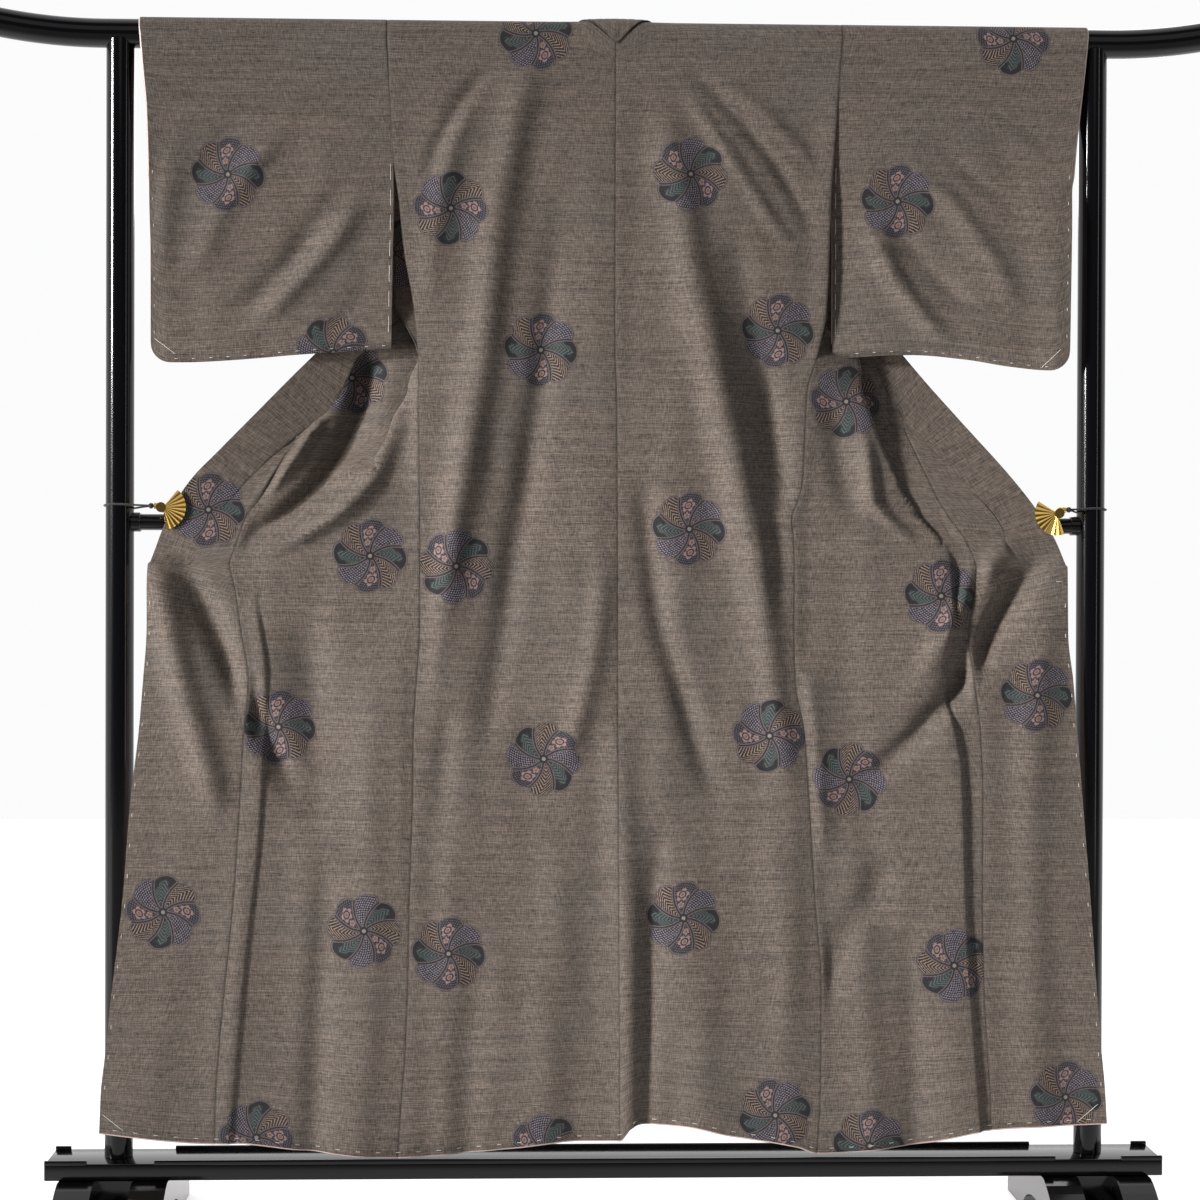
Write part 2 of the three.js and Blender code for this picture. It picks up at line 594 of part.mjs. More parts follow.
function sleeveBottom(sleeve, s, inset) {
  const cuff = read(sleeve.edge, 'z', 'cuff', 1230);
  const inner = read(sleeve.edge, 'z', 'inner', 1230);
  const x = lerp(cuff, inner, Math.min(1, Math.max(0, s)));
  const line = read(sleeve.bottom, 'x', 'z', x);
  const fromCuff = Math.abs(x - cuff) - inset;
  const radius = CORNER_RADIUS - inset;
  const inside = Math.max(0, radius - Math.max(0, fromCuff));
  return line + inset + radius - Math.sqrt(radius * radius - inside * inside);
}

// Half the bag's outer depth at a place on the sleeve.
function sleeveHalfDepth(s, z) {
  const low = 3.3 + 5 * smooth(s * 2);
  const from = lerp(1440, 1290, smooth(s));
  return lerp(low, DRAPE_RADIUS + WALL / 2, smooth((z - from) / (1640 - from)));
}

function sleeveRing(sleeve, s, inset, floor = -Infinity) {
  const bottom = Math.max(floor, sleeveBottom(sleeve, s, inset));
  const place = (side, z, half) => {
    const x = lerp(read(sleeve.edge, 'z', 'cuff', z), read(sleeve.edge, 'z', 'inner', z), s);
    const drift = smooth((1620 - z) / 200) * smooth((1 - s) * 4);
    return new THREE.Vector3(x, side * half - drift * lift(sleeve.folds, x, z), z);
  };
  const ring = [];
  const levels = [0, 0.06, 0.2, 0.4, 0.615, 0.8, 1];
  const downSide = (side, list) => list.map((t) => {
    const z = lerp(bottom, BAR_Z, t);
    const half = Math.max(1.2, sleeveHalfDepth(s, z) - inset) * (t === 0 ? 0.55 : 1);
    return place(side, z, half);
  });
  ring.push(...downSide(-1, levels));
  const radius = DRAPE_RADIUS + WALL / 2 - inset;
  for (const t of spread(8).slice(1, -1)) {
    const angle = Math.PI * (t - 0.5);
    const z = BAR_Z + radius * Math.cos(angle);
    const x = lerp(read(sleeve.edge, 'z', 'cuff', z), read(sleeve.edge, 'z', 'inner', z), s);
    ring.push(new THREE.Vector3(x, radius * Math.sin(angle), z));
  }
  ring.push(...downSide(1, [...levels].reverse()));
  return ring;
}

function sleevePanel(sleeve) {
  const width = Math.abs(sleeve.edge[0].cuff - sleeve.edge[0].inner);
  const wallShare = WALL / width;
  const seamShare = 1.5 * SEAM_GAP / width;
  const outside = SLEEVE_SECTIONS.map((s) => Math.min(s, 1 - seamShare));
  const inside = [wallShare, ...SLEEVE_SECTIONS.slice(1, -1), 1.03];
  const bag = solid(ringSolid(outside.map((s) => sleeveRing(sleeve, s, 0))));
  const hollow = solid(ringSolid(inside.map((s) => sleeveRing(sleeve, s, WALL))));
  const mouth = solid(ringSolid(
    [-0.03, 0.012, 0.03].map((s) => sleeveRing(sleeve, s, WALL, CUFF_OPENING_END))));
  return geometryOf(bag.subtract(hollow).subtract(mouth));
}

// ---- clips: a pleated fan over the cloth, a jaw behind it, and a barrel for the elastic ----
const FAN_RADIUS = 31;
const FAN_PLEATS = 10;
const FAN_WALL = 1.2;
const FAN_HUB_RADIUS = 7;
const CLIPS = {
  left: { x: -611, z: 1001, from: 50, to: -83, out: -1, knotZ: 1003, post: -POST_X - GARMENT_X },
  right: { x: 629, z: 998, from: 148, to: 289, out: 1, knotZ: 1003, post: POST_X - GARMENT_X },
};
const FAN_Y = -31;
const JAW_Y = -17;
const BARREL_Y = -27;

function fanSheet(clip, y, radius, pleatDepth) {
  const grid = [0.1, 0.55, 1].map((r) => spread(2 * FAN_PLEATS).map((t, i) => {
    const angle = THREE.MathUtils.degToRad(lerp(clip.from, clip.to, t));
    const ripple = (i % 2 ? 1 : -1) * pleatDepth * r;
    return new THREE.Vector3(
      clip.x + Math.cos(angle) * radius * r, y + ripple, clip.z + Math.sin(angle) * radius * r);
  }));
  return sheetSolid(grid, FAN_WALL);
}

function clipBody(clip) {
  const hubX = clip.x + clip.out * 3;
  const barrelX = hubX + clip.out * 5;
  return join(
    fanSheet(clip, FAN_Y, FAN_RADIUS, 1.2),
    fanSheet(clip, JAW_Y, FAN_RADIUS * 0.8, 0.2),
    rod(FAN_HUB_RADIUS, [hubX, FAN_Y - 3, clip.z], [hubX, JAW_Y + 1, clip.z], 20),
    rod(4.2, [hubX, BARREL_Y, clip.knotZ], [barrelX + clip.out * 5, BARREL_Y, clip.knotZ], 12),
  );
}

const ELASTIC_RADIUS = 1.4;
const KNOT_RADIUS = 4;
function elastic(clip) {
  const reach = POST_RADIUS + 2 * FIT_GAP + ELASTIC_RADIUS;
  const knotX = clip.x + clip.out * (3 + 10 + KNOT_RADIUS + FIT_GAP);
  const knotAt = new THREE.Vector3(knotX, BARREL_Y, clip.knotZ);
  const path = spread(12).map((t) => {
    const angle = lerp(0.04, 1.29, t) * Math.PI;
    return new THREE.Vector3(
      clip.post + clip.out * Math.sin(angle) * reach,
      -Math.cos(angle) * reach,
      clip.knotZ + lerp(2.5, -2.5, t));
  });
  const last = path[path.length - 1].clone();
  path.push(last.clone().lerp(knotAt, 0.35), last.clone().lerp(knotAt, 0.7), knotAt);
  path.push(knotAt.clone().lerp(path[0], 0.35), knotAt.clone().lerp(path[0], 0.7));
  const curve = new THREE.CatmullRomCurve3(path, true);
  const steps = 40;
  const frames = curve.computeFrenetFrames(steps, true);
  const rings = Array.from({ length: steps }, (_, i) => {
    const at = curve.getPointAt(i / steps);
    return Array.from({ length: 6 }, (_, j) => {
      const angle = j / 6 * 2 * Math.PI;
      return at.clone()
        .addScaledVector(frames.normals[i], Math.cos(angle) * ELASTIC_RADIUS)
        .addScaledVector(frames.binormals[i], Math.sin(angle) * ELASTIC_RADIUS);
    });
  });
  const knot = new THREE.SphereGeometry(KNOT_RADIUS, 12, 8).translate(knotX, BARREL_Y, clip.knotZ);
  return join(ringSolid(rings, true), knot);
}

// ---- the stand ----
// The bar is made in three: a straight middle on the posts, and an end at each side that sweeps up.
function barPiece(stations) {
  const rings = stations.map((x) => {
    const past = Math.max(0, Math.abs(x) - BAR_STRAIGHT_HALF) / (BAR_HALF - BAR_STRAIGHT_HALF);
    const rise = BAR_END_RISE * past * past;
    const tilt = Math.atan(2 * BAR_END_RISE * past / (BAR_HALF - BAR_STRAIGHT_HALF) * Math.sign(x));
    const radius = Math.abs(x) === BAR_HALF ? BAR_RADIUS - BAR_ROUNDING : BAR_RADIUS;
    return Array.from({ length: BAR_SIDES }, (_, j) => {
      const angle = j / BAR_SIDES * 2 * Math.PI;
      const up = Math.cos(angle) * radius;
      const z = BAR_Z + rise + up * Math.cos(tilt);
      return new THREE.Vector3(x - up * Math.sin(tilt), Math.sin(angle) * radius, z);
    });
  });
  return ringSolid(rings);
}

const topBar = () => barPiece([-BAR_STRAIGHT_HALF, BAR_STRAIGHT_HALF]);

function barEnd(way) {
  const from = BAR_STRAIGHT_HALF + FIT_GAP;
  const stations = [0, 0.3, 0.55, 0.78, 0.93, 1].map((t) => way * lerp(from, BAR_HALF, t));
  return barPiece(stations);
}

function post(x) {
  const shaft = solid(rod(POST_RADIUS, [x, 0, BEAM_TOP + FIT_GAP], [x, 0, BAR_Z], 28));
  const seat = solid(rod(BAR_RADIUS + FIT_GAP, [-800, 0, BAR_Z], [800, 0, BAR_Z], 28));
  return geometryOf(shaft.subtract(seat));
}

function midRail() {
  const bar = join(
    rod(RAIL_RADIUS, [-POST_X, 0, RAIL_Z], [POST_X, 0, RAIL_Z]),
    ...[-1, 1].map((way) => {
      const end = way * (POST_X - POST_RADIUS - RAIL_COLLAR_LENGTH);
      return rod(RAIL_COLLAR_RADIUS, [end, 0, RAIL_Z], [way * POST_X, 0, RAIL_Z]);
    }),
  );
  const posts = [-1, 1].map((way) =>
    solid(rod(POST_RADIUS + FIT_GAP, [way * POST_X, 0, RAIL_Z - 60], [way * POST_X, 0, RAIL_Z + 60], 28)));
  return posts.reduce((rail, cut) => geometryOf(solid(rail).subtract(cut)), bar);
}

function baseBeam() {
  const half = BEAM_DEPTH / 2;
  const lips = [];
  for (const [side, notch] of [[-1, FRONT_NOTCH], [1, BACK_NOTCH]]) {
    const near = side * (half - LIP_WIDTH);
    const y = [Math.min(near, side * half), Math.max(near, side * half)];
    lips.push(block(-BEAM_HALF, notch[0], ...y, BEAM_TOP - 1, LIP_TOP));
    lips.push(block(notch[1], -notch[1], ...y, BEAM_TOP - 1, LIP_TOP));
    lips.push(block(-notch[0], BEAM_HALF, ...y, BEAM_TOP - 1, LIP_TOP));
  }
  return join(block(-BEAM_HALF, BEAM_HALF, -half, half, BEAM_BOTTOM, BEAM_TOP), ...lips);
}

// A foot runs front to back, arched beneath, its ends swelling to rounded toes.
function foot(x) {
  const side = new THREE.Shape();
  const L = FOOT_HALF_LENGTH;
  side.moveTo(-L, 0);
  side.lineTo(-L, 14);
  side.quadraticCurveTo(-L + 4, 30, -L + 34, 34);
  side.bezierCurveTo(-120, 38, -100, 66, -62, FOOT_TOP);
  side.lineTo(62, FOOT_TOP);
  side.bezierCurveTo(100, 66, 120, 38, L - 34, 34);
  side.quadraticCurveTo(L - 4, 30, L, 14);
  side.lineTo(L, 0);
  side.lineTo(86, 0);
  side.bezierCurveTo(70, 26, 30, 34, 0, 34);
  side.bezierCurveTo(-30, 34, -70, 26, -86, 0);
  const body = new THREE.ExtrudeGeometry(side, { depth: FOOT_WIDTH, bevelEnabled: false, curveSegments: 6 });
  body.rotateX(Math.PI / 2).rotateZ(Math.PI / 2).translate(x - FOOT_WIDTH / 2, 0, 0);
  return geometryOf(solid(body).subtract(solid(footGroove(x))));
}

// The groove that parts each end of a foot into two lobes.
function footGroove(x) {
  const cut = new THREE.Shape();
  cut.moveTo(-26, 120);
  cut.lineTo(-26, 44);
  cut.quadraticCurveTo(-6, 40, 0, 24);
  cut.quadraticCurveTo(6, 40, 26, 44);
  cut.lineTo(26, 120);
  const cutter = new THREE.ExtrudeGeometry(
    cut, { depth: 4 * FOOT_HALF_LENGTH, bevelEnabled: false, curveSegments: 4 });
  cutter.rotateX(Math.PI / 2).translate(x, 2 * FOOT_HALF_LENGTH, 0);
  const under = solid(block(x - 60, x + 60, -BEAM_DEPTH / 2, BEAM_DEPTH / 2, 0, 200));
  return geometryOf(solid(cutter).subtract(under));
}

function stand() {
  const group = new THREE.Group();
  group.add(node('top_bar', topBar(), LACQUER));
  group.add(node('mid_rail', midRail(), LACQUER));
  group.add(node('base_beam', baseBeam(), LACQUER));
  for (const [name, way] of [['left', -1], ['right', 1]]) {
    group.add(node(`bar_end_${name}`, barEnd(way), LACQUER));
    group.add(node(`post_${name}`, post(way * POST_X), LACQUER));
    group.add(node(`foot_${name}`, foot(way * POST_X), LACQUER));
  }
  return group;
}

function garment() {
  const group = new THREE.Group();
  group.add(node('back_left', backPanel(LEFT, -1), CLOTH));
  group.add(node('back_right', backPanel(RIGHT, 1), CLOTH));
  group.add(node('front_left', frontPanel(LEFT, -1, LEFT_FOLDS), CLOTH));
  group.add(node('front_right', frontPanel(RIGHT, 1, RIGHT_FOLDS), CLOTH));
  group.add(node('okumi_left', okumiPanel(LEFT, LEFT_OKUMI, -1, LEFT_FOLDS), CLOTH));
  group.add(node('okumi_right', okumiPanel(RIGHT, RIGHT_OKUMI, 1, RIGHT_FOLDS), CLOTH));
  group.add(node('collar_left', lowerCollar(LEFT_COLLAR, -1), CLOTH));
  group.add(node('collar_right', lowerCollar(RIGHT_COLLAR, 1), CLOTH));
  group.add(node('over_collar', overCollar(), CLOTH));
  group.add(node('sleeve_left', sleevePanel(LEFT_SLEEVE), CLOTH));
  group.add(node('sleeve_right', sleevePanel(RIGHT_SLEEVE), CLOTH));
  for (const [name, clip] of Object.entries(CLIPS)) {
    group.add(node(`clip_${name}`, clipBody(clip), GOLD));
    group.add(node(`elastic_${name}`, elastic(clip), ELASTIC));
  }
  group.position.x = GARMENT_X;
  return group;
}

const kimonoOnStand = new THREE.Group();
kimonoOnStand.add(stand(), garment());
export default kimonoOnStand;
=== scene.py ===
"""A lined kimono, back outward, hung through its sleeves on a black lacquer kimono stand.

The garment is laid out in millimetres, in its own frame (its middle is GARMENT_X off the stand's
middle), from tables close to those of the part's source, with finer rows and columns between them.
"""
import math
from functools import partialmethod

import bmesh
import bpy
import numpy as np
from mathutils import Matrix, Vector
from mathutils.bvhtree import BVHTree


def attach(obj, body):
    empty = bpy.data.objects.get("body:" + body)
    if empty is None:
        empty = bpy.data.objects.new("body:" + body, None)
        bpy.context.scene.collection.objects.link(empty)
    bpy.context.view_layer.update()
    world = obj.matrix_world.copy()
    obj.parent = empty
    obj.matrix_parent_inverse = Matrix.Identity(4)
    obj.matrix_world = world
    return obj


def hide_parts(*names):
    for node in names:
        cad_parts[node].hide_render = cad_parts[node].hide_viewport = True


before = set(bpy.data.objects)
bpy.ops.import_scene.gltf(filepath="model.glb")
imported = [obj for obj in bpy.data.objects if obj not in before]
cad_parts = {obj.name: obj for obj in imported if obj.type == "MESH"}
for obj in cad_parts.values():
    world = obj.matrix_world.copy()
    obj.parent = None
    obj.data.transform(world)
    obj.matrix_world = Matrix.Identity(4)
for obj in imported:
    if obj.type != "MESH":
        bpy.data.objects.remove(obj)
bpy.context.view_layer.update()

MM = 0.001

# ---- driving dimensions, as in the part's source, in millimetres ----
BAR_Z, BAR_RADIUS, BAR_HALF, BAR_STRAIGHT_HALF, BAR_END_RISE = 1658, 20, 905, 700, 27
POST_X, POST_RADIUS = 679, 19.5
RAIL_Z, RAIL_RADIUS, RAIL_COLLAR_RADIUS, RAIL_COLLAR_LENGTH = 981, 11.2, 13.5, 10
BEAM_HALF, BEAM_DEPTH, BEAM_BOTTOM, BEAM_TOP = 774, 97, 75.3, 98.5
LIP_TOP, LIP_WIDTH = 103, 5
FRONT_NOTCH, BACK_NOTCH = (-716, -624), (-752, -606)

WALL = 1.7                # lined cloth
COLLAR_WALL = 2.7
CAD_WALL = 2
DRAPE_RADIUS = BAR_RADIUS + 0.8 + CAD_WALL / 2
HEM_Z = 120               # where the straight rows end; hung() bends them to the hem's own line
HEM_BLEND_Z = 300         # and where that bending starts
GARMENT_X = -4
SHOULDER_RUN = 66.6       # cloth from the top of the bar down to where the shoulder rows end
SHOULDER_ROWS = 24
CENTRE_X = 11
STEP = 6.0                # spacing of the cloth's rows
COLUMN, FRONT_COLUMN = 5.0, 2.6   # and of its columns
BACK_WIDTH, FRONT_WIDTH, OKUMI_WIDTH, SLEEVE_WIDTH = 300, 248, 150, 335
LOWER_COLLAR_WIDTH, OVER_COLLAR_WIDTH = 55, 50
RIM = (0.0, 0.8, 2.0, 3.6)   # extra columns and rows beside an edge
SEAM_DIP, SEAM_REACH = 0.7, 1.7   # how far and how wide the cloth sinks along a seam
LINING_LIP = 2.0          # how far the lining rolls out past the hem and cuff


# ---- reading tables and curves ----
def table(columns, rows):
    return dict(zip(columns.split(), np.array(rows, float).T))


def ramp(t):
    return np.clip(t, 0, 1)


def smooth(t):
    c = ramp(t)
    return c * c * (3 - 2 * c)


def mix(a, b, t):
    return a + (b - a) * t


def curve(xs, ys, at):
    """Reads a smooth monotone curve through xs, ys; ys may have more than one value a point."""
    xs, ys, at = np.asarray(xs, float), np.asarray(ys, float), np.asarray(at, float)
    if xs[0] > xs[-1]:
        xs, ys = xs[::-1], ys[::-1]
    wide = ys.reshape(len(ys), -1)
    h = np.diff(xs)[:, None]
    slope = np.diff(wide, axis=0) / h
    m = np.zeros_like(wide)
    m[0], m[-1] = slope[0], slope[-1]
    same = slope[:-1] * slope[1:] > 0
    w1, w2 = 2 * h[1:] + h[:-1], h[1:] + 2 * h[:-1]
    a, b = np.where(same, slope[:-1], 1), np.where(same, slope[1:], 1)
    m[1:-1] = np.where(same, (w1 + w2) / (w1 / a + w2 / b), 0)
    flat = np.clip(at.ravel(), xs[0], xs[-1])
    k = np.clip(np.searchsorted(xs, flat, side="right") - 1, 0, len(xs) - 2)
    step = h[k]
    t = (flat - xs[k])[:, None] / step
    value = (wide[k] * (1 + 2 * t) * (1 - t) ** 2 + m[k] * step * t * (1 - t) ** 2
             + wide[k + 1] * t * t * (3 - 2 * t) + m[k + 1] * step * t * t * (t - 1))
    return value.reshape(at.shape + ys.shape[1:])


def line(xs, ys, at):
    """Reads straight between the points."""
    xs, ys = np.asarray(xs, float), np.asarray(ys, float)
    if xs[0] > xs[-1]:
        xs, ys = xs[::-1], ys[::-1]
    return np.interp(at, xs, ys)


def lengths(points, axis):
    """Distances between the neighbours of a grid of points along an axis."""
    return np.linalg.norm(np.diff(points, axis=axis), axis=-1)


def run_along(steps):
    """Distances from the start, after each of the steps."""
    return np.concatenate([[0], np.cumsum(steps)])


def stations(length, step, low_rim=True, high_rim=True):
    """Places from 0 to 1 along a length, closer together beside the edges."""
    inner = np.linspace(0, length, max(2, int(round(length / step)) + 1))
    low = RIM if low_rim else (0.0,)
    high = RIM if high_rim else (0.0,)
    inner = inner[(inner > low[-1] + step * 0.4) & (inner < length - high[-1] - step * 0.4)]
    return np.concatenate([low, inner, length - np.array(high[::-1])]) / length


def loft(keys, step):
    """Smooth rows every step mm through key rows; keys is rows x columns x values, x y z first."""
    keys = np.asarray(keys, float)
    along = run_along(lengths(keys[:, :, :3], 0).mean(axis=1))
    places = stations(along[-1], step, False) * along[-1]
    return curve(along, keys, places)


# ---- folds ----
# Each runs down the cloth through points, u across and v down in the camera's frame of
# 1200 x 1200, with a rise in millimetres for each: + lifts the cloth toward -Y, - is a trough. A ridge
# falls off on both sides over its width; a step rises across its width and sinks back over PLEAT_REACH.
FRAME_MM = 1.39           # millimetres a pixel at the cloth
MIDDLE_U = 605.5          # where x is 0
LEVEL_V, LEVEL_Z = 608, 862.6
BELOW_HEM_V, BELOW_HEM_Z = 1100, 100   # a point below the first lies at the second, under the hem


def fold(rise, width, points, kind="ridge"):
    u, v = np.array(points, float).T
    x = np.round((u - MIDDLE_U) * FRAME_MM)
    z = np.where(v < BELOW_HEM_V, np.round(LEVEL_Z + (LEVEL_V - v) * FRAME_MM), BELOW_HEM_Z)
    return {"rise": np.array(rise, float), "width": width, "points": np.stack([x, z], -1), "kind": kind}


BACK_FOLDS = [
    fold((4, 9, 12, 14, 15, 13, 9, 6), 25,
         [(528, 50), (519, 99), (499, 200), (486, 320), (468, 440), (446, 560), (428, 640), (414, 720)]),
    fold((4, 5, 4, 2), 17, [(470, 80), (446, 170), (428, 260), (420, 330)]),
    fold((0, -6, -9, -8, -4), 20, [(560, 140), (548, 300), (530, 450), (506, 600), (486, 760)]),
    fold((-4, -9, -7, -4), 22, [(446, 690), (434, 800), (428, 900), (424, 1120)]),
    fold((4, 9, 13, 17, 18, 16, 12, 8), 27,
         [(662, 90), (676, 180), (690, 258), (711, 360), (729, 444), (753, 550), (775, 660), (800, 800)]),
    fold((-3, -7, -11, -12, -9), 22, [(728, 210), (752, 330), (778, 440), (800, 550), (808, 640)]),
    fold((3, 5, 5, 2), 11, [(672, 72), (720, 144), (768, 216), (800, 262)]),
    fold((2, 4, 4, 2), 12, [(700, 60), (770, 120), (815, 170), (828, 210)]),
    fold((-2, -6, -5, -2), 13, [(500, 50), (462, 100), (436, 150), (416, 205)]),
    fold((-2, -5, -6, -3), 12, [(664, 44), (730, 110), (786, 180), (822, 250)]),
    fold((2, 7, 5), 17, [(606, 540), (588, 680), (560, 780)]),
    fold((-3, -9, -8, -4), 17, [(640, 460), (656, 600), (690, 720), (716, 810)]),
    fold((3, 6, 7, 8), 19, [(616, 700), (624, 850), (631, 980), (634, 1130)]),
    fold((-3, -6, -8, -8), 16, [(664, 800), (654, 900), (648, 1000), (645, 1130)]),
    fold((2, 4, 4, 3), 34, [(560, 820), (552, 950), (548, 1050), (544, 1130)]),
    fold((2, 4, 5), 36, [(700, 820), (702, 950), (704, 1130)]),
    fold((1, -4, -6), 22, [(490, 900), (474, 1000), (468, 1130)]),
    fold((2, 4, 3), 24, [(776, 820), (788, 980), (792, 1130)]),
]
LEFT_FOLDS = [
    fold((3, 8, 12, 14, 13, 10, 5), 17,
         [(404, 380), (392, 430), (374, 474), (346, 508), (312, 532), (268, 556), (238, 570)]),
    fold((-10, -18, -22, -23, -21, -17, -10, -4), 20,
         [(372, 318), (368, 350), (362, 396), (346, 440), (322, 480), (294, 508), (254, 538),
          (232, 560)]),
    fold((6, 11, 15, 16, 14, 10, 6), 12,
         [(340, 368), (326, 392), (314, 418), (300, 446), (286, 470), (266, 494), (244, 514)]),
    fold((-5, -10, -12, -9), 10, [(316, 400), (302, 430), (288, 458), (268, 482)]),
    fold((5, 12, 13, 11, 7), 21, [(152, 540), (166, 600), (184, 680), (204, 750), (226, 830)]),
    fold((0, -5, -15, -13, -9, -4), 20,
         [(180, 530), (190, 568), (212, 620), (248, 700), (282, 765), (300, 820)]),
    fold((-1, -3, -4, -4, -3, -3), 3.5,
         [(258, 570), (258, 590), (268, 676), (264, 799), (246, 989), (232, 1150)], "step"),
    fold((-5, -11, -9, -3), 34, [(300, 590), (312, 680), (318, 770), (322, 860)]),
    fold((2, 6, 4, 3), 30, [(382, 640), (372, 760), (366, 950), (360, 1150)]),
    fold((-2, -5, -6), 20, [(330, 830), (322, 960), (316, 1150)]),
]
RIGHT_FOLDS = [
    fold((2, 6, 8, 9, 8, 5, 2), 11,
         [(860, 410), (865, 440), (868, 470), (871, 498), (884, 514), (908, 536), (926, 560)]),
    fold((-3, -6, -6, -4), 20, [(834, 372), (838, 434), (848, 490), (866, 538)]),
    fold((0, -8, -20, -19, -14, -9, -4), 22,
         [(1050, 528), (1040, 552), (1006, 610), (972, 668), (930, 720), (888, 762), (850, 800)]),
    fold((6, 11, 10, 6, 3), 18, [(1030, 520), (988, 566), (954, 620), (926, 670), (900, 710)]),
    fold((2, 7, 8, 7, 6, 6, 6), 3.5,
         [(935, 529), (953, 561), (954, 600), (946, 670), (964, 768), (969, 904), (986, 1150)], "step"),
    fold((4, 8, 6, 4), 26, [(1052, 580), (1040, 680), (1034, 820), (1040, 1150)]),
    fold((4, 8, 8, 3), 26, [(810, 640), (806, 720), (812, 800), (822, 880)]),
    fold((-2, -6, -6, -3), 26, [(900, 840), (868, 900), (836, 960), (808, 1030)]),
    fold((2, 6, 7), 26, [(850, 820), (862, 950), (876, 1150)]),
    fold((-2, -5, -6), 20, [(908, 900), (914, 1000), (920, 1150)]),
]
LEFT_SLEEVE_FOLDS = [
    fold((-2, -7, -5), 20, [(356, 160), (292, 258), (216, 334)]),
    fold((3, 9, 6), 18, [(384, 176), (310, 270), (236, 348)]),
    fold((1, -4, -5), 16, [(390, 250), (350, 310), (312, 352)]),
    fold((2, 5, 3), 20, [(330, 60), (230, 200), (178, 300)]),
    fold((1, -4, -2), 20, [(290, 60), (216, 150), (172, 230)]),
    fold((1, 4, 3), 16, [(182, 96), (166, 190), (158, 300)]),
    fold((1, 4, 2), 14, [(300, 120), (262, 160), (225, 205)]),
]
RIGHT_SLEEVE_FOLDS = [
    fold((3, 10, 11, 5), 18, [(858, 200), (886, 262), (926, 318), (960, 350)]),
    fold((-2, -5, -4), 18, [(884, 200), (930, 266), (990, 325)]),
    fold((2, 6, 5, 2), 18, [(890, 140), (950, 200), (1000, 270), (1026, 326)]),
    fold((-1, -4, -2), 17, [(909, 110), (975, 175), (1042, 225)]),
    fold((1, 5, 3), 17, [(930, 70), (1010, 130), (1062, 180)]),
]
FOLD_FADE = 70            # how far a fold takes to start and to run out
FOLD_DEPTH = 1.15         # scale of all their rises
PLEAT_REACH = 60          # how far a step's cloth takes to come back to level


def lift(folds, x, z, centre_side=1):
    """How far the folds lift the cloth toward -Y; centre_side is the way to the back seam."""
    total = np.zeros(np.broadcast(x, z).shape)
    for f in folds:
        px, pz = f["points"].T
        top, end = pz[0], pz[-1]
        off = (x - curve(pz, px, z)) / f["width"]
        rise = curve(pz, f["rise"], z) * FOLD_DEPTH
        fade = smooth((top - z) / FOLD_FADE)
        if end >= HEM_Z:
            fade = fade * smooth((z - end) / FOLD_FADE)
        if f["kind"] == "step":
            inward = off * centre_side
            beyond = np.maximum(0, inward - 1) * f["width"] / PLEAT_REACH
            shape = smooth((inward + 1) / 2) * np.exp(-beyond * beyond)
        else:
            shape = np.exp(-off * off)
        total = total + np.where((z <= top) & (z >= end), rise * fade * shape, 0)
    return total


BACK_WAVES, FRONT_WAVES, OKUMI_WAVES, SLEEVE_WAVES = 2.0, 1.8, 1.4, 1.8
WAVE_LENGTHS = ((260, 1.0), (150, 0.55), (85, 0.3), (48, 0.15))   # length, share of the size
SLEEVE_WAVE_SEED = 31
LOOSE_TOP = 1620          # the waves, and the folds of the sleeves, start below this


def waves(x, z, seed, size):
    """Slight unevenness of hung cloth: a few long waves, the same on every run."""
    rng = np.random.default_rng(seed)
    total = np.zeros(np.broadcast(x, z).shape)
    for length, share in WAVE_LENGTHS:
        turn, phase = rng.uniform(-0.5, 0.5), rng.uniform(0, 2 * math.pi)
        total = total + share * np.sin(
            2 * math.pi * (x * math.cos(turn) + 0.35 * z * math.sin(turn)) / length + phase
            + 1.2 * np.sin(z / (2.2 * length) + phase))
    return size * total


# ---- the garment's outline ----
HEM = table("x z", [
    (-698, 137), (-539, 122), (-519, 122), (-420, 112), (-286, 102), (-131, 114), (-46, 123),
    (22, 124), (36, 140), (50, 146), (114, 143), (175, 130), (270, 114), (297, 105), (431, 116),
    (535, 136), (704, 145)])
CENTRE = table("z x", [(1647, 11), (1246, 11), (1152, 14), (726, 17), (596, 18), (HEM_Z, 22)])
ARMHOLE_END_Z = 1491


def hung(x, z):
    reach = HEM_BLEND_Z - curve(HEM["x"], HEM["z"], x)
    return np.where(z >= HEM_BLEND_Z, z, HEM_BLEND_Z - (HEM_BLEND_Z - z) * reach / (HEM_BLEND_Z - HEM_Z))


def over_bar(run, radius=DRAPE_RADIUS):
    """y and z at a distance along the cloth over the bar: negative on the -Y side, zero on top."""
    angle = run / DRAPE_RADIUS
    on_bar = np.abs(angle) <= math.pi / 2
    y = np.where(on_bar, radius * np.sin(angle), np.sign(run) * radius)
    below = np.abs(run) - DRAPE_RADIUS * math.pi / 2
    z = np.where(on_bar, BAR_Z + radius * np.cos(angle), BAR_Z - below)
    return y, z


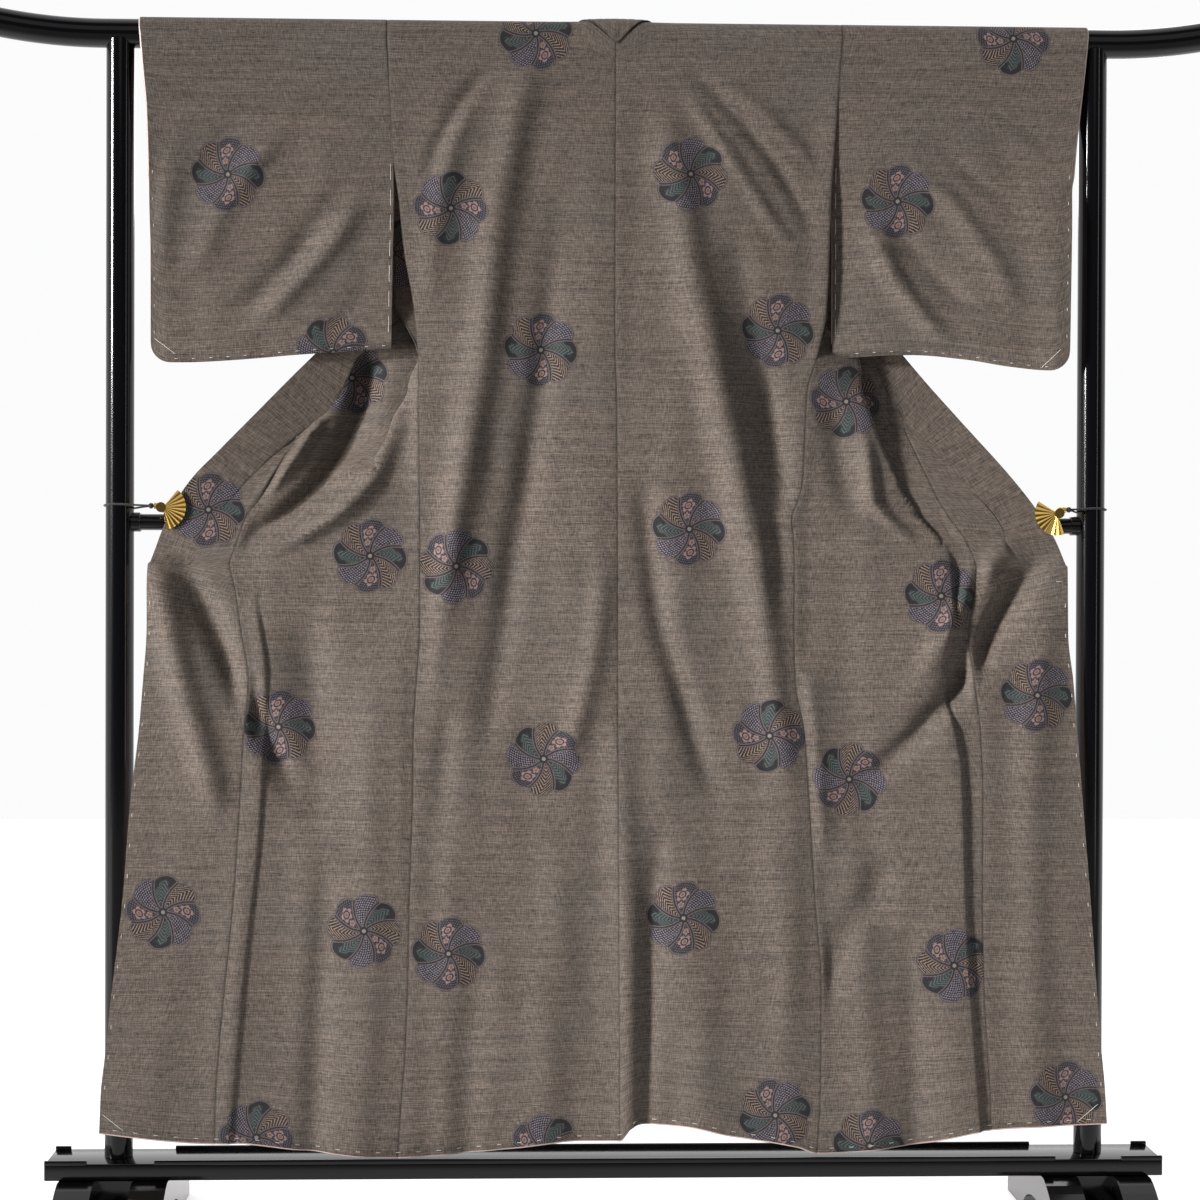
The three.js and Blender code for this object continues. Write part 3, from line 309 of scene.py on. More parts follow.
# side: the panel's outer edge; seam: the front's edge at the collar or okumi. The y columns are
# their depths.
COLUMNS = "z side backY sideY seam seamY"
LEFT = table(COLUMNS, [
    (1600, -303.5, -21.8, 21.8, -58, 21.8),
    (1540, -299.9, -21.8, 21.8, -62, 22),
    (1491, -297, -21.8, 21.8, -73, 23),
    (1430, -289, -23, 21, -133, 28.5),
    (1356, -281, -22, 19, -203, 28.5),
    (1281, -268, -20, 10, -274, 28.5),
    (1211, -262, -15, -12, -350, 27),
    (1170, -261, -20, -17, -367, 20),
    (1138, -261, -23, -20, -385, 11),
    (1104, -260, -25.5, -22, -427, 1),
    (1078, -259.5, -26, -22.5, -444, -7),
    (1040, -259, -26.5, -26.5, -464, -16),
    (1012, -258, -27, -27, -480, -21),
    (990, -258, -27, -27, -497, -23.5),
    (957, -258, -27, -27, -509, -26),
    (922, -258, -27, -27, -520, -26.5),
    (890, -258, -27, -27, -513, -27),
    (830, -258, -27, -27, -504, -27),
    (763, -262, -27, -27, -494, -27),
    (691, -266, -27, -27, -500, -27),
    (597, -267, -27, -27, -505, -27),
    (456, -271, -27, -27, -514, -27),
    (333, -273, -27, -27, -526, -27),
    (240, -277, -27, -27, -534, -27),
    (180, -282, -27, -27, -538, -27),
    (HEM_Z, -286, -27, -27, -539, -27),
])
RIGHT = table(COLUMNS, [
    (1600, 322.8, -21.8, 21.8, 80, 21.8),
    (1540, 318.5, -21.8, 21.8, 84, 22),
    (1491, 315, -21.8, 21.8, 95, 23),
    (1430, 311, -23, 21, 171, 28.5),
    (1356, 309, -22, 19, 234, 28.5),
    (1281, 306, -20, 12, 300, 28.5),
    (1211, 292, -18, -2, 377, 27),
    (1170, 280, -18, -15, 397, 20),
    (1138, 278, -22, -19, 412, 11),
    (1104, 276, -25.5, -22, 425, 1),
    (1078, 275, -26, -22.5, 436, -7),
    (1040, 273, -26.5, -26.5, 453, -16),
    (1012, 266, -27, -27, 467, -21),
    (990, 258, -27, -27, 481, -23.5),
    (957, 261, -27, -27, 504, -26),
    (922, 262, -27, -27, 517, -26.5),
    (890, 262, -27, -27, 515, -27),
    (830, 262, -27, -27, 506, -27),
    (763, 264, -27, -27, 515, -27),
    (691, 277, -27, -27, 524, -27),
    (597, 284, -27, -27, 528, -27),
    (456, 293, -27, -27, 528, -27),
    (333, 302, -27, -27, 531, -27),
    (240, 302, -27, -27, 536, -27),
    (180, 301, -27, -27, 540, -27),
    (HEM_Z, 297, -27, -27, 542, -27),
])

# Each front is one width of cloth. Above, it runs in behind the back and turns outward at an inner
# fold; below, it first runs out to an outer fold, turns in behind itself and then outward again.
# out: cloth from its side edge to the outer fold, negative where there is none; outY: that fold's
# depth; innerY: the outward layer's depth; most: the widest that the folded part may be.
GATHER_TOP = 1230         # where the side seams end and the fronts come out from behind
FOLDED = "z out outY innerY most"
FOLDED_ABOVE = [(1600, -14, 21.8, 22, 300), (1540, -14, 21.8, 23, 300), (1491, -14, 21.8, 26, 300),
                (1430, -14, 21, 27, 300), (1356, -14, 19, 27, 300)]
LEFT_FOLDED = table(FOLDED, FOLDED_ABOVE + [
    (1281, -12, 10, 24, 300), (1236, -7, -4, 20, 300), (1210, 0, -11, 17, 300),
    (1184, 14, -9, 15, 300), (1160, 19, -9, 13, 300), (1130, 36, -9, 9, 300), (1100, 47, -11, 3, 42),
    (1080, 58, -13, -3, 20), (1062, 70, -15, -9, 5), (1050, 80, -17, -16, 0), (1020, 108, -21, -21, 0),
    (996, 129, -24, -24, 0), (940, 150, -27, -27, 0), (HEM_Z, 150, -27, -27, 0)])
RIGHT_FOLDED = table(FOLDED, FOLDED_ABOVE + [
    (1281, -10, 13, 25, 300), (1255, 8, 13.5, 24, 300), (1232, 42, 13, 22, 300),
    (1213, 65, 8, 19, 300), (1170, 80, -7, 8, 300), (1134, 94, -15, 1, 300), (1093, 110, -20, -8, 300),
    (1058, 127, -23, -14.5, 300), (1036, 137, -24.5, -17.5, 300), (1005, 168, -26, -21, 300),
    (970, 198, -27, -24, 300), (940, 214, -27, -26, 8), (922, 222, -27, -27, 0), (HEM_Z, 222, -27, -27, 0)])
LEAST_TURN, MOST_TURN = 1.9, 4.0   # radius of the turns at a front's folds
FINE_LENGTHS = 1985       # how many lengths a front's row is worked out at
# How far the fronts' free side edges stand out behind the sleeves, across the open underarm.
UNDERARM = table("z left right", [
    (ARMHOLE_END_Z, 0, 0), (1430, 11, 8), (1356, 20, 10), (1281, 26, 8), (1230, 3, 1), (1211, 0, 0)])
UNDERARM_FACING = 70      # cloth turned in along the open underarm
CREASE_FACING = 6         # beside the outer fold, the inner side is cloth too this far
CREASE_END_Z = 1035       # and down to here
TUCK = 5                  # how far the cloth runs on inside the collar
OVERLAP = 0.4             # how far joined pieces run into each other at a seam
FRONT_TOP = 1618          # where a front's flat rows start, under its shoulder rows
# The cut for the neck, by distance out from the middle: where the back's cloth starts along its run
# over the bar, and how proud of it the cloth stands.
NECK = table("out run proud", [
    (0, -44.6, 1), (16, -31, 1.3), (32, -16, 1.3), (48, 0, 0.6), (90, 0, 0), (9999, 0, 0)])
NECK_EDGE = table("run out", [(0, 48), (13, 60), (25, 70), (SHOULDER_RUN, 71)])
ARMHOLE = table("z left right", [(BAR_Z, -307, 327), (ARMHOLE_END_Z, -297, 315)])


def armhole(way, z):
    return line(ARMHOLE["z"], ARMHOLE["left" if way < 0 else "right"], z)


OKUMI = "x z seamZ"
LEFT_OKUMI = table(OKUMI, [
    (-436, 1097, 1100), (-456, 1079, 1078), (-495, 1040, 1040), (-519, 1012, 1012), (-540, 986, 990),
    (-555, 950, 957), (-573, 927, 938), (-605, 926, 922), (-632, 918, 890), (-634, 830, 830),
    (-639, 763, 763), (-645, 691, 691), (-656, 597, 597), (-667, 456, 456), (-681, 333, 333),
    (-690, 240, 240), (-696, 180, 180), (-698, HEM_Z, HEM_Z)])
RIGHT_OKUMI = table(OKUMI, [
    (422, 1127, 1130), (445, 1099, 1104), (466, 1076, 1078), (498, 1036, 1040), (521, 1008, 1012),
    (543, 980, 990), (562, 952, 957), (585, 927, 938), (619, 926, 922), (645, 918, 890),
    (646, 830, 830), (654, 763, 763), (660, 691, 691), (668, 597, 597), (680, 456, 456),
    (689, 333, 333), (696, 240, 240), (701, 180, 180), (704, HEM_Z, HEM_Z)])
COLLAR_END_Z = 915
COLLAR_TOP_Z = 1115       # where the okumi's point ends and the collar joins the front
TUCKED_OUT, TUCKED_UP = 6, 3   # key rows whose edge runs on inside the collar: outward, and upward after
OKUMI_WAVES_TOP = 940

COLLAR = "seamX seamY seamZ outX outY outZ"
LEFT_COLLAR = table(COLLAR, [
    (-58, 28, 1650, -105, 31, 1664), (-60, 28, 1600, -112, 31, 1616), (-64, 29, 1540, -116, 31, 1562),
    (-77, 29, 1491, -128, 31, 1518), (-133, 29, 1430, -176, 31, 1467), (-203, 29, 1356, -245, 31, 1392),
    (-274, 29, 1281, -322, 31, 1310), (-350, 28, 1211, -396, 25, 1229), (-385, 12, 1138, -437, 8, 1186),
    (-427, 1, 1104, -476, -6, 1144), (-456, -7, 1079, -508, -14, 1110), (-495, -16, 1040, -542, -22, 1074),
    (-519, -21, 1012, -568, -25, 1047), (-540, -23.5, 986, -588, -25, 1020),
    (-555, -25.5, 950, -611, -25, 975), (-573, -26.5, 922, -630, -26.5, 922)])
RIGHT_COLLAR = table(COLLAR, [
    (80, 28, 1650, 127, 31, 1664), (82, 28, 1600, 134, 31, 1616), (86, 29, 1540, 138, 31, 1562),
    (99, 29, 1491, 148, 31, 1520), (171, 29, 1430, 214, 31, 1466), (234, 29, 1356, 276, 31, 1392),
    (300, 29, 1281, 345, 31, 1311), (377, 28, 1211, 413, 29, 1231), (412, 12, 1138, 452, 24, 1184),
    (445, -1, 1099, 491, 12, 1138), (466, -7, 1076, 519, 1, 1105), (498, -16, 1036, 551, -9, 1068),
    (521, -21, 1008, 575, -15, 1039), (543, -23.5, 980, 602, -20, 1003), (562, -25.5, 952, 628, -25, 960),
    (585, -26.5, 922, 644, -26.5, 922)])
NECK_ROWS = table("out seamRun outerOut outRun", [
    (0, -44, 0, 12), (12, -33.5, 13, 15), (24, -22, 28, 20), (36, -10, 45, 25),
    (46, 1, 62, 29), (55, 12, 80, 30), (63, 24, 100, 30)])
NECK_SEAM_RADIUS = DRAPE_RADIUS + 2.6
NECK_OUTER_RADIUS = DRAPE_RADIUS + 5
OVER_COLLAR_ROWS = 8      # of a collar table's rows, from the neck down
OVER_COLLAR_STEP = 4.0
COLLAR_UNDERLAP = -0.06   # the lower collar's start, in key rows: a little way under the over collar
COLLAR_FOLDS_TOP = 990

# What the two sides of the garment are made from.
SIDES = {
    "left": {"way": -1, "rows": LEFT, "folded": LEFT_FOLDED, "okumi": LEFT_OKUMI, "collar": LEFT_COLLAR,
             "folds": LEFT_FOLDS},
    "right": {"way": 1, "rows": RIGHT, "folded": RIGHT_FOLDED, "okumi": RIGHT_OKUMI,
              "collar": RIGHT_COLLAR, "folds": RIGHT_FOLDS},
}

# ---- where the round motifs lie, seen from behind: x, z, and how far each is turned ----
MOTIF_RADIUS = 53
MOTIF_REACH = 1.5         # in radii; beyond it a motif has no effect
MOTIFS = {
    "sleeve_left": [(-526, 1463, 0), (-380, 1217, 130)],
    "back_left": [(-100, 1660, 200), (-217, 1416, 90), (-92, 1222, 0), (-208, 921, 45), (-86, 654, 135),
                  (-217, 384, 0), (-82, 110, 60)],
    "front_left": [(-327, 935, 180), (-453, 698, 0), (-334, 416, 225), (-482, 129, 90), (-356, 1185, 20),
                   (-300, 1359, 70)],
    "okumi_left": [(-611, 442, 90), (-550, 998, 0)],
    "collar_left": [(-550, 998, 0)],
    "back_right": [(115, 1466, 45), (238, 1251, 180), (115, 974, 0), (228, 687, 90), (109, 433, 0),
                   (238, 158, 200)],
    "sleeve_right": [(405, 1432, 0), (566, 1660, 90)],
    "front_right": [(335, 1153, 90), (466, 882, 0), (340, 626, 135), (487, 367, 45), (370, 115, 0)],
    "okumi_right": [(602, 744, 180), (646, 181, 0)],
    "collar_right": [],
    "over_collar": [],
}


# ---- making meshes ----
CLOTH_SHARP, HARD_SHARP = 50, 40   # edges that turn by more than this, in degrees, shade as corners


def linked(name, data):
    obj = bpy.data.objects.new(name, data)
    bpy.context.scene.collection.objects.link(obj)
    return obj


def shaded(mesh, sharp):
    mesh.polygons.foreach_set("use_smooth", np.ones(len(mesh.polygons), bool))
    mesh.set_sharp_from_angle(angle=math.radians(sharp))
    mesh.update()


def cloth_object(name, verts, faces, materials, face_slots):
    """A mesh object in metres from points in millimetres."""
    mesh = bpy.data.meshes.new(name)
    mesh.from_pydata((np.asarray(verts, float) * MM).tolist(), [], np.asarray(faces).tolist())
    for material in materials:
        mesh.materials.append(material)
    mesh.polygons.foreach_set("material_index", np.asarray(face_slots, np.int32))
    shaded(mesh, CLOTH_SHARP)
    return linked(name, mesh)


def vector_attribute(obj, name, values):
    """Three values for each point of a grid, given to the outer and the inner skin alike."""
    layer = obj.data.attributes.new(name=name, type="FLOAT_VECTOR", domain="POINT")
    both = np.concatenate([values.reshape(-1, 3)] * 2)
    layer.data.foreach_set("vector", np.asarray(both, np.float32).ravel())


def normals_of(grid):
    padded_across = np.concatenate([grid[:, :1], grid, grid[:, -1:]], axis=1)
    padded_down = np.concatenate([grid[:1], grid, grid[-1:]], axis=0)
    across = padded_across[:, 2:] - padded_across[:, :-2]
    down = padded_down[2:] - padded_down[:-2]
    normal = np.cross(across, down)
    return normal / np.maximum(np.linalg.norm(normal, axis=2, keepdims=True), 1e-9)


def quads(rows, cols, start=0):
    a = (np.arange(rows - 1)[:, None] * cols + np.arange(cols - 1)[None, :]).ravel() + start
    return np.stack([a, a + cols, a + cols + 1, a + 1], axis=1)


def motif_coordinates(name, x, z, shows):
    """Places in units of the nearest motif's radius, and how near it is (0 where it can't show)."""
    best = np.full(x.shape, 1e9)
    local = np.zeros(x.shape + (2,))
    for cx, cz, turn in MOTIFS[name]:
        dx, dz = (x - cx) / MOTIF_RADIUS, (z - cz) / MOTIF_RADIUS
        away = np.hypot(dx, dz)
        c, s = math.cos(math.radians(turn)), math.sin(math.radians(turn))
        turned = np.stack([c * dx + s * dz, c * dz - s * dx], axis=-1)
        nearer = away < best
        best = np.where(nearer, away, best)
        local = np.where(nearer[..., None], turned, local)
    near = ramp((MOTIF_REACH - best) / 0.25) * shows
    local = np.where(best[..., None] < 4, local, 3.0)
    return np.concatenate([local, near[..., None]], axis=-1)


def write_places(obj, name, grid, across, down, near_seam, shows, seed):
    """What the cloth's material reads: the place in the weave with the seams, and in the motif."""
    full = [np.broadcast_to(values, near_seam.shape) for values in (across, down[:, None])]
    vector_attribute(obj, "weave", np.stack([full[0] * MM + seed, full[1] * MM + seed, near_seam], -1))
    shows = np.broadcast_to(shows, near_seam.shape)
    vector_attribute(obj, "motif", motif_coordinates(name, grid[..., 0] - GARMENT_X, grid[..., 2], shows))


def seam_dip(grid, outward, low, high):
    """Sinks the cloth a little along its sewn side edges.

    Returns the grid, the closeness to a seam and the distance across from the low edge.
    """
    from_low = np.concatenate([np.zeros((len(grid), 1)), np.cumsum(lengths(grid, 1), axis=1)], axis=1)
    near = np.zeros(from_low.shape)
    for sewn, distance in ((low, from_low), (high, from_low[:, -1:] - from_low)):
        if sewn:
            near = np.maximum(near, np.exp(-(distance / SEAM_REACH) ** 2))
    return grid - outward * (near * SEAM_DIP)[..., None], near, from_low


def cloth_sheet(name, grid, outside, wall, materials, seed, shows=1.0, seams=(True, True), lip=0.0,
                faced=None):
    """A thin closed shell round a grid of middle points; outside is +1 where the normal faces out.

    seams says which side edges are sewn, lip how far the lining rolls out at the lower edge, and
    faced marks the points whose inner side is cloth too.
    """
    grid = grid + np.array([GARMENT_X, 0, 0])
    outward = normals_of(grid) * outside
    grid, near, across = seam_dip(grid, outward, *seams)
    outward = normals_of(grid) * outside
    outer, inner = grid + outward * wall / 2, grid - outward * wall / 2
    inner[-1, :, 2] -= lip
    rows, cols = grid.shape[:2]
    half = rows * cols
    top = quads(rows, cols)
    bottom = quads(rows, cols, half)[:, ::-1]
    ring = np.concatenate([np.arange(cols - 1), np.arange(rows - 1) * cols + cols - 1,
                           np.arange(half - 1, half - cols, -1), np.arange(rows - 1, 0, -1) * cols])
    after = np.roll(ring, -1)
    rim = np.stack([ring, after, after + half, ring + half], axis=1)
    faces = np.concatenate([top, bottom, rim])
    if outside < 0:
        faces = faces[:, ::-1]
    plain = np.zeros((rows, cols), bool) if faced is None else faced
    under = np.where(plain[:-1, :-1].ravel(), 0, 1)
    slots = np.concatenate([np.zeros(len(top), int), under, np.zeros(len(rim), int)])
    slots[len(top) + len(bottom) + (cols - 1) + (rows - 1):][:cols - 1] = 1 if lip else 0
    verts = np.concatenate([outer.reshape(-1, 3), inner.reshape(-1, 3)])
    obj = cloth_object(name, verts, faces, materials, slots)
    write_places(obj, name, grid, across, run_along(lengths(grid, 0).mean(axis=1)), near, shows, seed)
    return obj


# ---- materials ----
def feed(tree, socket, value):
    """Gives a node's input another node's output, or a plain value."""
    if isinstance(value, Signal):
        tree.links.new(value.socket, socket)
    else:
        socket.default_value = value


def blend(tree, share, below, above):
    """A colour from below to above as share goes from 0 to 1."""
    node = tree.nodes.new("ShaderNodeMix")
    node.data_type = "RGBA"
    for value, slot in ((share, 0), (below, 6), (above, 7)):
        feed(tree, node.inputs[slot], value)
    return Signal(tree, node.outputs[2])


def split(tree, vector):
    node = tree.nodes.new("ShaderNodeSeparateXYZ")
    tree.links.new(vector, node.inputs[0])
    return [Signal(tree, output) for output in node.outputs]


class Signal:
    """A shader value that adds, multiplies and compares by making math nodes."""

    def __init__(self, tree, socket):
        self.tree, self.socket = tree, socket

    def math(self, operation, *others):
        node = self.tree.nodes.new("ShaderNodeMath")
        node.operation = operation
        for slot, value in enumerate((self,) + others):
            feed(self.tree, node.inputs[slot], value)
        return Signal(self.tree, node.outputs[0])

    __add__ = partialmethod(math, "ADD")
    __sub__ = partialmethod(math, "SUBTRACT")
    __mul__ = partialmethod(math, "MULTIPLY")
    __truediv__ = partialmethod(math, "DIVIDE")
    above = partialmethod(math, "GREATER_THAN")
    sin = partialmethod(math, "SINE")
    cos = partialmethod(math, "COSINE")
    abs = partialmethod(math, "ABSOLUTE")
    fract = partialmethod(math, "FRACT")
    floor = partialmethod(math, "FLOOR")

    def ramp(self, low, high):
        """0 below low, 1 above high, smooth between."""
        node = self.tree.nodes.new("ShaderNodeMapRange")
        node.interpolation_type = "SMOOTHSTEP"
        for socket, value in (("Value", self), ("From Min", min(low, high)), ("From Max", max(low, high)),
                              ("To Min", float(low > high)), ("To Max", float(low < high))):
            feed(self.tree, node.inputs[socket], value)
        return Signal(self.tree, node.outputs["Result"])


class Shader:
    """A material's node tree with short ways to add to it."""

    def __init__(self, name, **values):
        self.material = bpy.data.materials.new(name)
        self.material.use_nodes = True
        self.tree = self.material.node_tree
        self.bsdf = self.tree.nodes["Principled BSDF"]
        for socket, value in values.items():
            self.bsdf.inputs[socket.replace("_", " ")].default_value = value

    def attribute(self, name):
        node = self.tree.nodes.new("ShaderNodeAttribute")
        node.attribute_name = name
        return split(self.tree, node.outputs["Vector"])

    def place(self):
        return split(self.tree, self.tree.nodes.new("ShaderNodeTexCoord").outputs["Object"])

    def noise(self, x, y, z, detail=2.0, rough=0.5):
        """A noise reading about 0 to 1 at a made-up place."""
        place = self.tree.nodes.new("ShaderNodeCombineXYZ")
        for slot, value in enumerate((x, y, z)):
            feed(self.tree, place.inputs[slot], value)
        node = self.tree.nodes.new("ShaderNodeTexNoise")
        for socket, value in (("Scale", 1.0), ("Detail", detail), ("Roughness", rough)):
            node.inputs[socket].default_value = value
        self.tree.links.new(place.outputs[0], node.inputs["Vector"])
        return Signal(self.tree, node.outputs["Fac"])

    def blend(self, share, below, above):
        return blend(self.tree, share, below, above)

    def set(self, socket, signal):
        self.tree.links.new(signal.socket, self.bsdf.inputs[socket])

    def bump(self, height, strength, distance):
        node = self.tree.nodes.new("ShaderNodeBump")
        node.inputs["Strength"].default_value = strength
        node.inputs["Distance"].default_value = distance
        self.tree.links.new(height.socket, node.inputs["Height"])
        self.tree.links.new(node.outputs[0], self.bsdf.inputs["Normal"])


# colours of the motifs
DARK = (0.006, 0.0055, 0.007, 1)
LEAF_GREEN, PALE_LEAF = (0.010, 0.020, 0.023, 1), (0.120, 0.135, 0.120, 1)
LAVENDER, BLOOM = (0.235, 0.200, 0.245, 1), (0.235, 0.150, 0.148, 1)
OCHRE, TAN = (0.130, 0.082, 0.038, 1), (0.280, 0.195, 0.145, 1)
LOBE_LINE, HEART = (0.140, 0.105, 0.110, 1), (0.20, 0.18, 0.16, 1)
LOBES = 8
# colours of the yarns, and of what lies over them
YARN_DARK, YARN_PALE = (0.008, 0.0065, 0.0055, 1), (0.228, 0.177, 0.142, 1)
SLUB_DARK, SLUB_PALE = (0.018, 0.015, 0.014, 1), (0.30, 0.245, 0.20, 1)
COOL_PATCH, DARK_BAND = (0.075, 0.088, 0.085, 1), (0.040, 0.033, 0.029, 1)
WEFT_OVER_MOTIF, SEAM_SHADE = (0.11, 0.09, 0.085, 1), (0.018, 0.015, 0.012, 1)


def flower(x, y, radius):
    """The distance from x = y = 0, and 1 inside a five-petalled flower round it."""
    away = (x * x + y * y).math("SQRT")
    petals = (y.math("ARCTAN2", x) * 2.5).cos().abs() * (radius * 0.38) + radius * 0.68
    return away, (petals - away).ramp(0.0, 0.02)


def medallion(s, u, v, ground):
    """Round medallion of eight lobes, each filled with leaves, scales, blossoms or slanting lines."""
    x, y, near = s.attribute("motif")
    x = x + (s.noise(u * 900 + v * 120, v * 940, 7.0, 1.0) - 0.5) * 0.05
    y = y + (s.noise(u * 910, v * 900 + u * 130, 12.0, 1.0) - 0.5) * 0.05
    away = (x * x + y * y).math("SQRT")
    lobe = (y.math("ARCTAN2", x) / (2 * math.pi) + 1.0 + away * 0.09) * LOBES
    share = lobe.fract()
    kind = (lobe.floor() / 4.0).fract() * 4.0
    rim = (share * math.pi).sin().math("POWER", 0.7) * 0.15 + 0.85
    across = (share - 0.5) * (2 * math.pi / LOBES) * away
    from_side = ((share - 0.5).abs() * -1.0 + 0.5) * (2 * math.pi / LOBES) * away
    from_rim = rim - away
    leaf_width = ((away - 0.22) * 4.6).sin() * 0.19
    leaf = (leaf_width - across.abs() + (away * 34).sin() * 0.03).ramp(-0.01, 0.02)
    vein = ((away + across.abs()) * 70).sin().ramp(0.0, 0.5)
    leaves = s.blend(leaf, DARK, s.blend(vein * 0.55, LEAF_GREEN, PALE_LEAF))
    scales = ((away * 52).sin() * (across * 52).cos()).abs().ramp(0.42, 0.70)
    lattice = s.blend(scales * 0.85, DARK, LAVENDER)
    from_large, large = flower(away - 0.62, across, 0.17)
    from_small, small = flower(away - 0.36, across, 0.09)
    bloom = s.blend(large.math("MAXIMUM", small), s.blend(scales * 0.35, DARK, LAVENDER), BLOOM)
    bloom = s.blend((from_large - 0.085).abs().ramp(0.025, 0.010) * large, bloom, DARK)
    bloom = s.blend(from_large.math("MINIMUM", from_small).ramp(0.05, 0.03), bloom, OCHRE)
    slant = ((away + across.abs() * 1.1) * 66).sin().ramp(0.25, 0.65)
    lines = s.blend(slant * 0.85, DARK, TAN)
    fill = s.blend(kind.above(0.5), leaves, lattice)
    fill = s.blend(kind.above(1.5), fill, bloom)
    fill = s.blend(kind.above(2.5), fill, lines)
    margin = from_side.math("MINIMUM", from_rim)
    fill = s.blend(margin.ramp(0.065, 0.045), fill, DARK)
    fill = s.blend((margin - 0.035).abs().ramp(0.020, 0.008) * 0.75, fill, LOBE_LINE)
    fill = s.blend(away.ramp(0.13, 0.10), fill, DARK)
    fill = s.blend(away.ramp(0.06, 0.04), fill, HEART)
    inside = from_rim.ramp(0.0, 0.02) * near.above(0.5)
    return s.blend(inside * 0.95, ground, fill), inside


def cloth_material():
    s = Shader("tsumugi_cloth", Roughness=0.8, Sheen_Weight=0.06, Sheen_Roughness=0.4)
    u, v, seam = s.attribute("weave")
    warp = s.noise(u * 1080, v * 70 + u * 330, 1.0, 2.0, 0.7)
    weft = s.noise(u * 110 + v * 300, v * 1080, 5.0, 3.0, 0.7)
    long_weft = s.noise(u * 9 + v * 240, v * 470, 15.0, 2.0, 0.6)
    slub = s.noise(u * 60 + v * 310, v * 640, 9.0, 1.0)
    broad = s.noise(u * 5 + v * 2, v * 7 - u * 3, 3.0, 2.0)
    bands = s.noise(u * 2.5 + v * 9, v * 95 + u * 2, 21.0, 2.0)
    tone = warp.ramp(0.40, 0.60) * 0.38 + weft.ramp(0.38, 0.62) * 0.34 + long_weft.ramp(0.36, 0.64) * 0.28
    colour = s.blend(tone, YARN_DARK, YARN_PALE)
    colour = s.blend(slub.ramp(0.60, 0.70) * 0.50, colour, SLUB_DARK)
    colour = s.blend(slub.ramp(0.36, 0.28) * 0.30, colour, SLUB_PALE)
    colour = s.blend(broad.ramp(0.35, 0.75) * 0.14, colour, COOL_PATCH)
    colour = s.blend(bands.ramp(0.45, 0.75) * 0.16, colour, DARK_BAND)
    woven, inside = medallion(s, u, v, colour)
    colour = s.blend(weft.ramp(0.56, 0.72) * inside * 0.14, woven, WEFT_OVER_MOTIF)
    colour = s.blend(seam * 0.6, colour, SEAM_SHADE)
    s.set("Base Color", colour)
    s.bump(tone + slub * 0.6, 0.45, 0.0006)
    return s.material


def lining_material():
    s = Shader("pink_lining", Base_Color=(0.62, 0.47, 0.42, 1), Roughness=0.42, Sheen_Weight=0.2)
    u, v = s.attribute("weave")[:2]
    s.bump(s.noise(u * 1500, v * 60, 2.0), 0.1, 0.0002)
    return s.material


def plain_material(name, scale, detail, strength, distance, **values):
    """One colour with a fine unevenness, which scale, detail, strength and distance describe."""
    s = Shader(name, **values)
    x, y, z = s.place()
    s.bump(s.noise(x * scale, y * scale, z * scale, detail), strength, distance)
    return s.material


def elastic_material():
    s = Shader("black_elastic", Base_Color=(0.008, 0.008, 0.009, 1), Roughness=0.75, Sheen_Weight=0.2)
    x, y, z = s.place()
    s.bump((x * 2600).sin() + (y * 2600).sin() + (z * 2600).sin(), 0.2, 0.0002)
    return s.material


CLOTH = cloth_material()
LINING = lining_material()
LACQUER = plain_material("black_lacquer", 9, 1.0, 0.02, 0.0004, Base_Color=(0.002, 0.002, 0.0025, 1),
                         Roughness=0.12, Specular_IOR_Level=0.42)
GOLD = plain_material("gold_metal", 400, 2.0, 0.06, 0.0002, Base_Color=(0.83, 0.55, 0.16, 1),
                      Metallic=1.0, Roughness=0.2)
ELASTIC = elastic_material()
THREAD = plain_material("white_thread", 1800, 1.0, 0.3, 0.0002, Base_Color=(0.72, 0.69, 0.64, 1),
                        Roughness=0.8)
LINED = [CLOTH, LINING]
PLAIN = [CLOTH, CLOTH]


# ---- the body of the garment ----
def back_keys(rows, way, t):
    """Key rows: x, y, z, how much the folds may lift the cloth there, and z before the hem's bending."""
    z = rows["z"][:, None]
    middle = curve(CENTRE["z"], CENTRE["x"], z) - way * OVERLAP
    edge = rows["side"][:, None] + way * OVERLAP
    x = mix(middle, edge, t)
    base = mix(-22 - 4 * smooth((1600 - z) / 300), rows["backY"][:, None], smooth(t * t))
    full = [np.broadcast_to(a, x.shape) for a in (x, base, hung(x, z), smooth((1 - t) * 5), z)]
    return np.stack(full, -1)


SHOULDER_STEPS = np.linspace(0, 1, SHOULDER_ROWS)[:, None]


def shoulder_rows(x_low, x_high, start, end, t, proud=0.0):
    """Rows over the bar, from start to end along the cloth; x_low and x_high may change with them."""
    x = mix(x_low, x_high, t)
    y, z = over_bar(mix(start, end, SHOULDER_STEPS), DRAPE_RADIUS + proud)
    full = [np.broadcast_to(a, x.shape) for a in (x, y, z)]
    return np.stack(full + [np.zeros(x.shape), full[2]], -1)


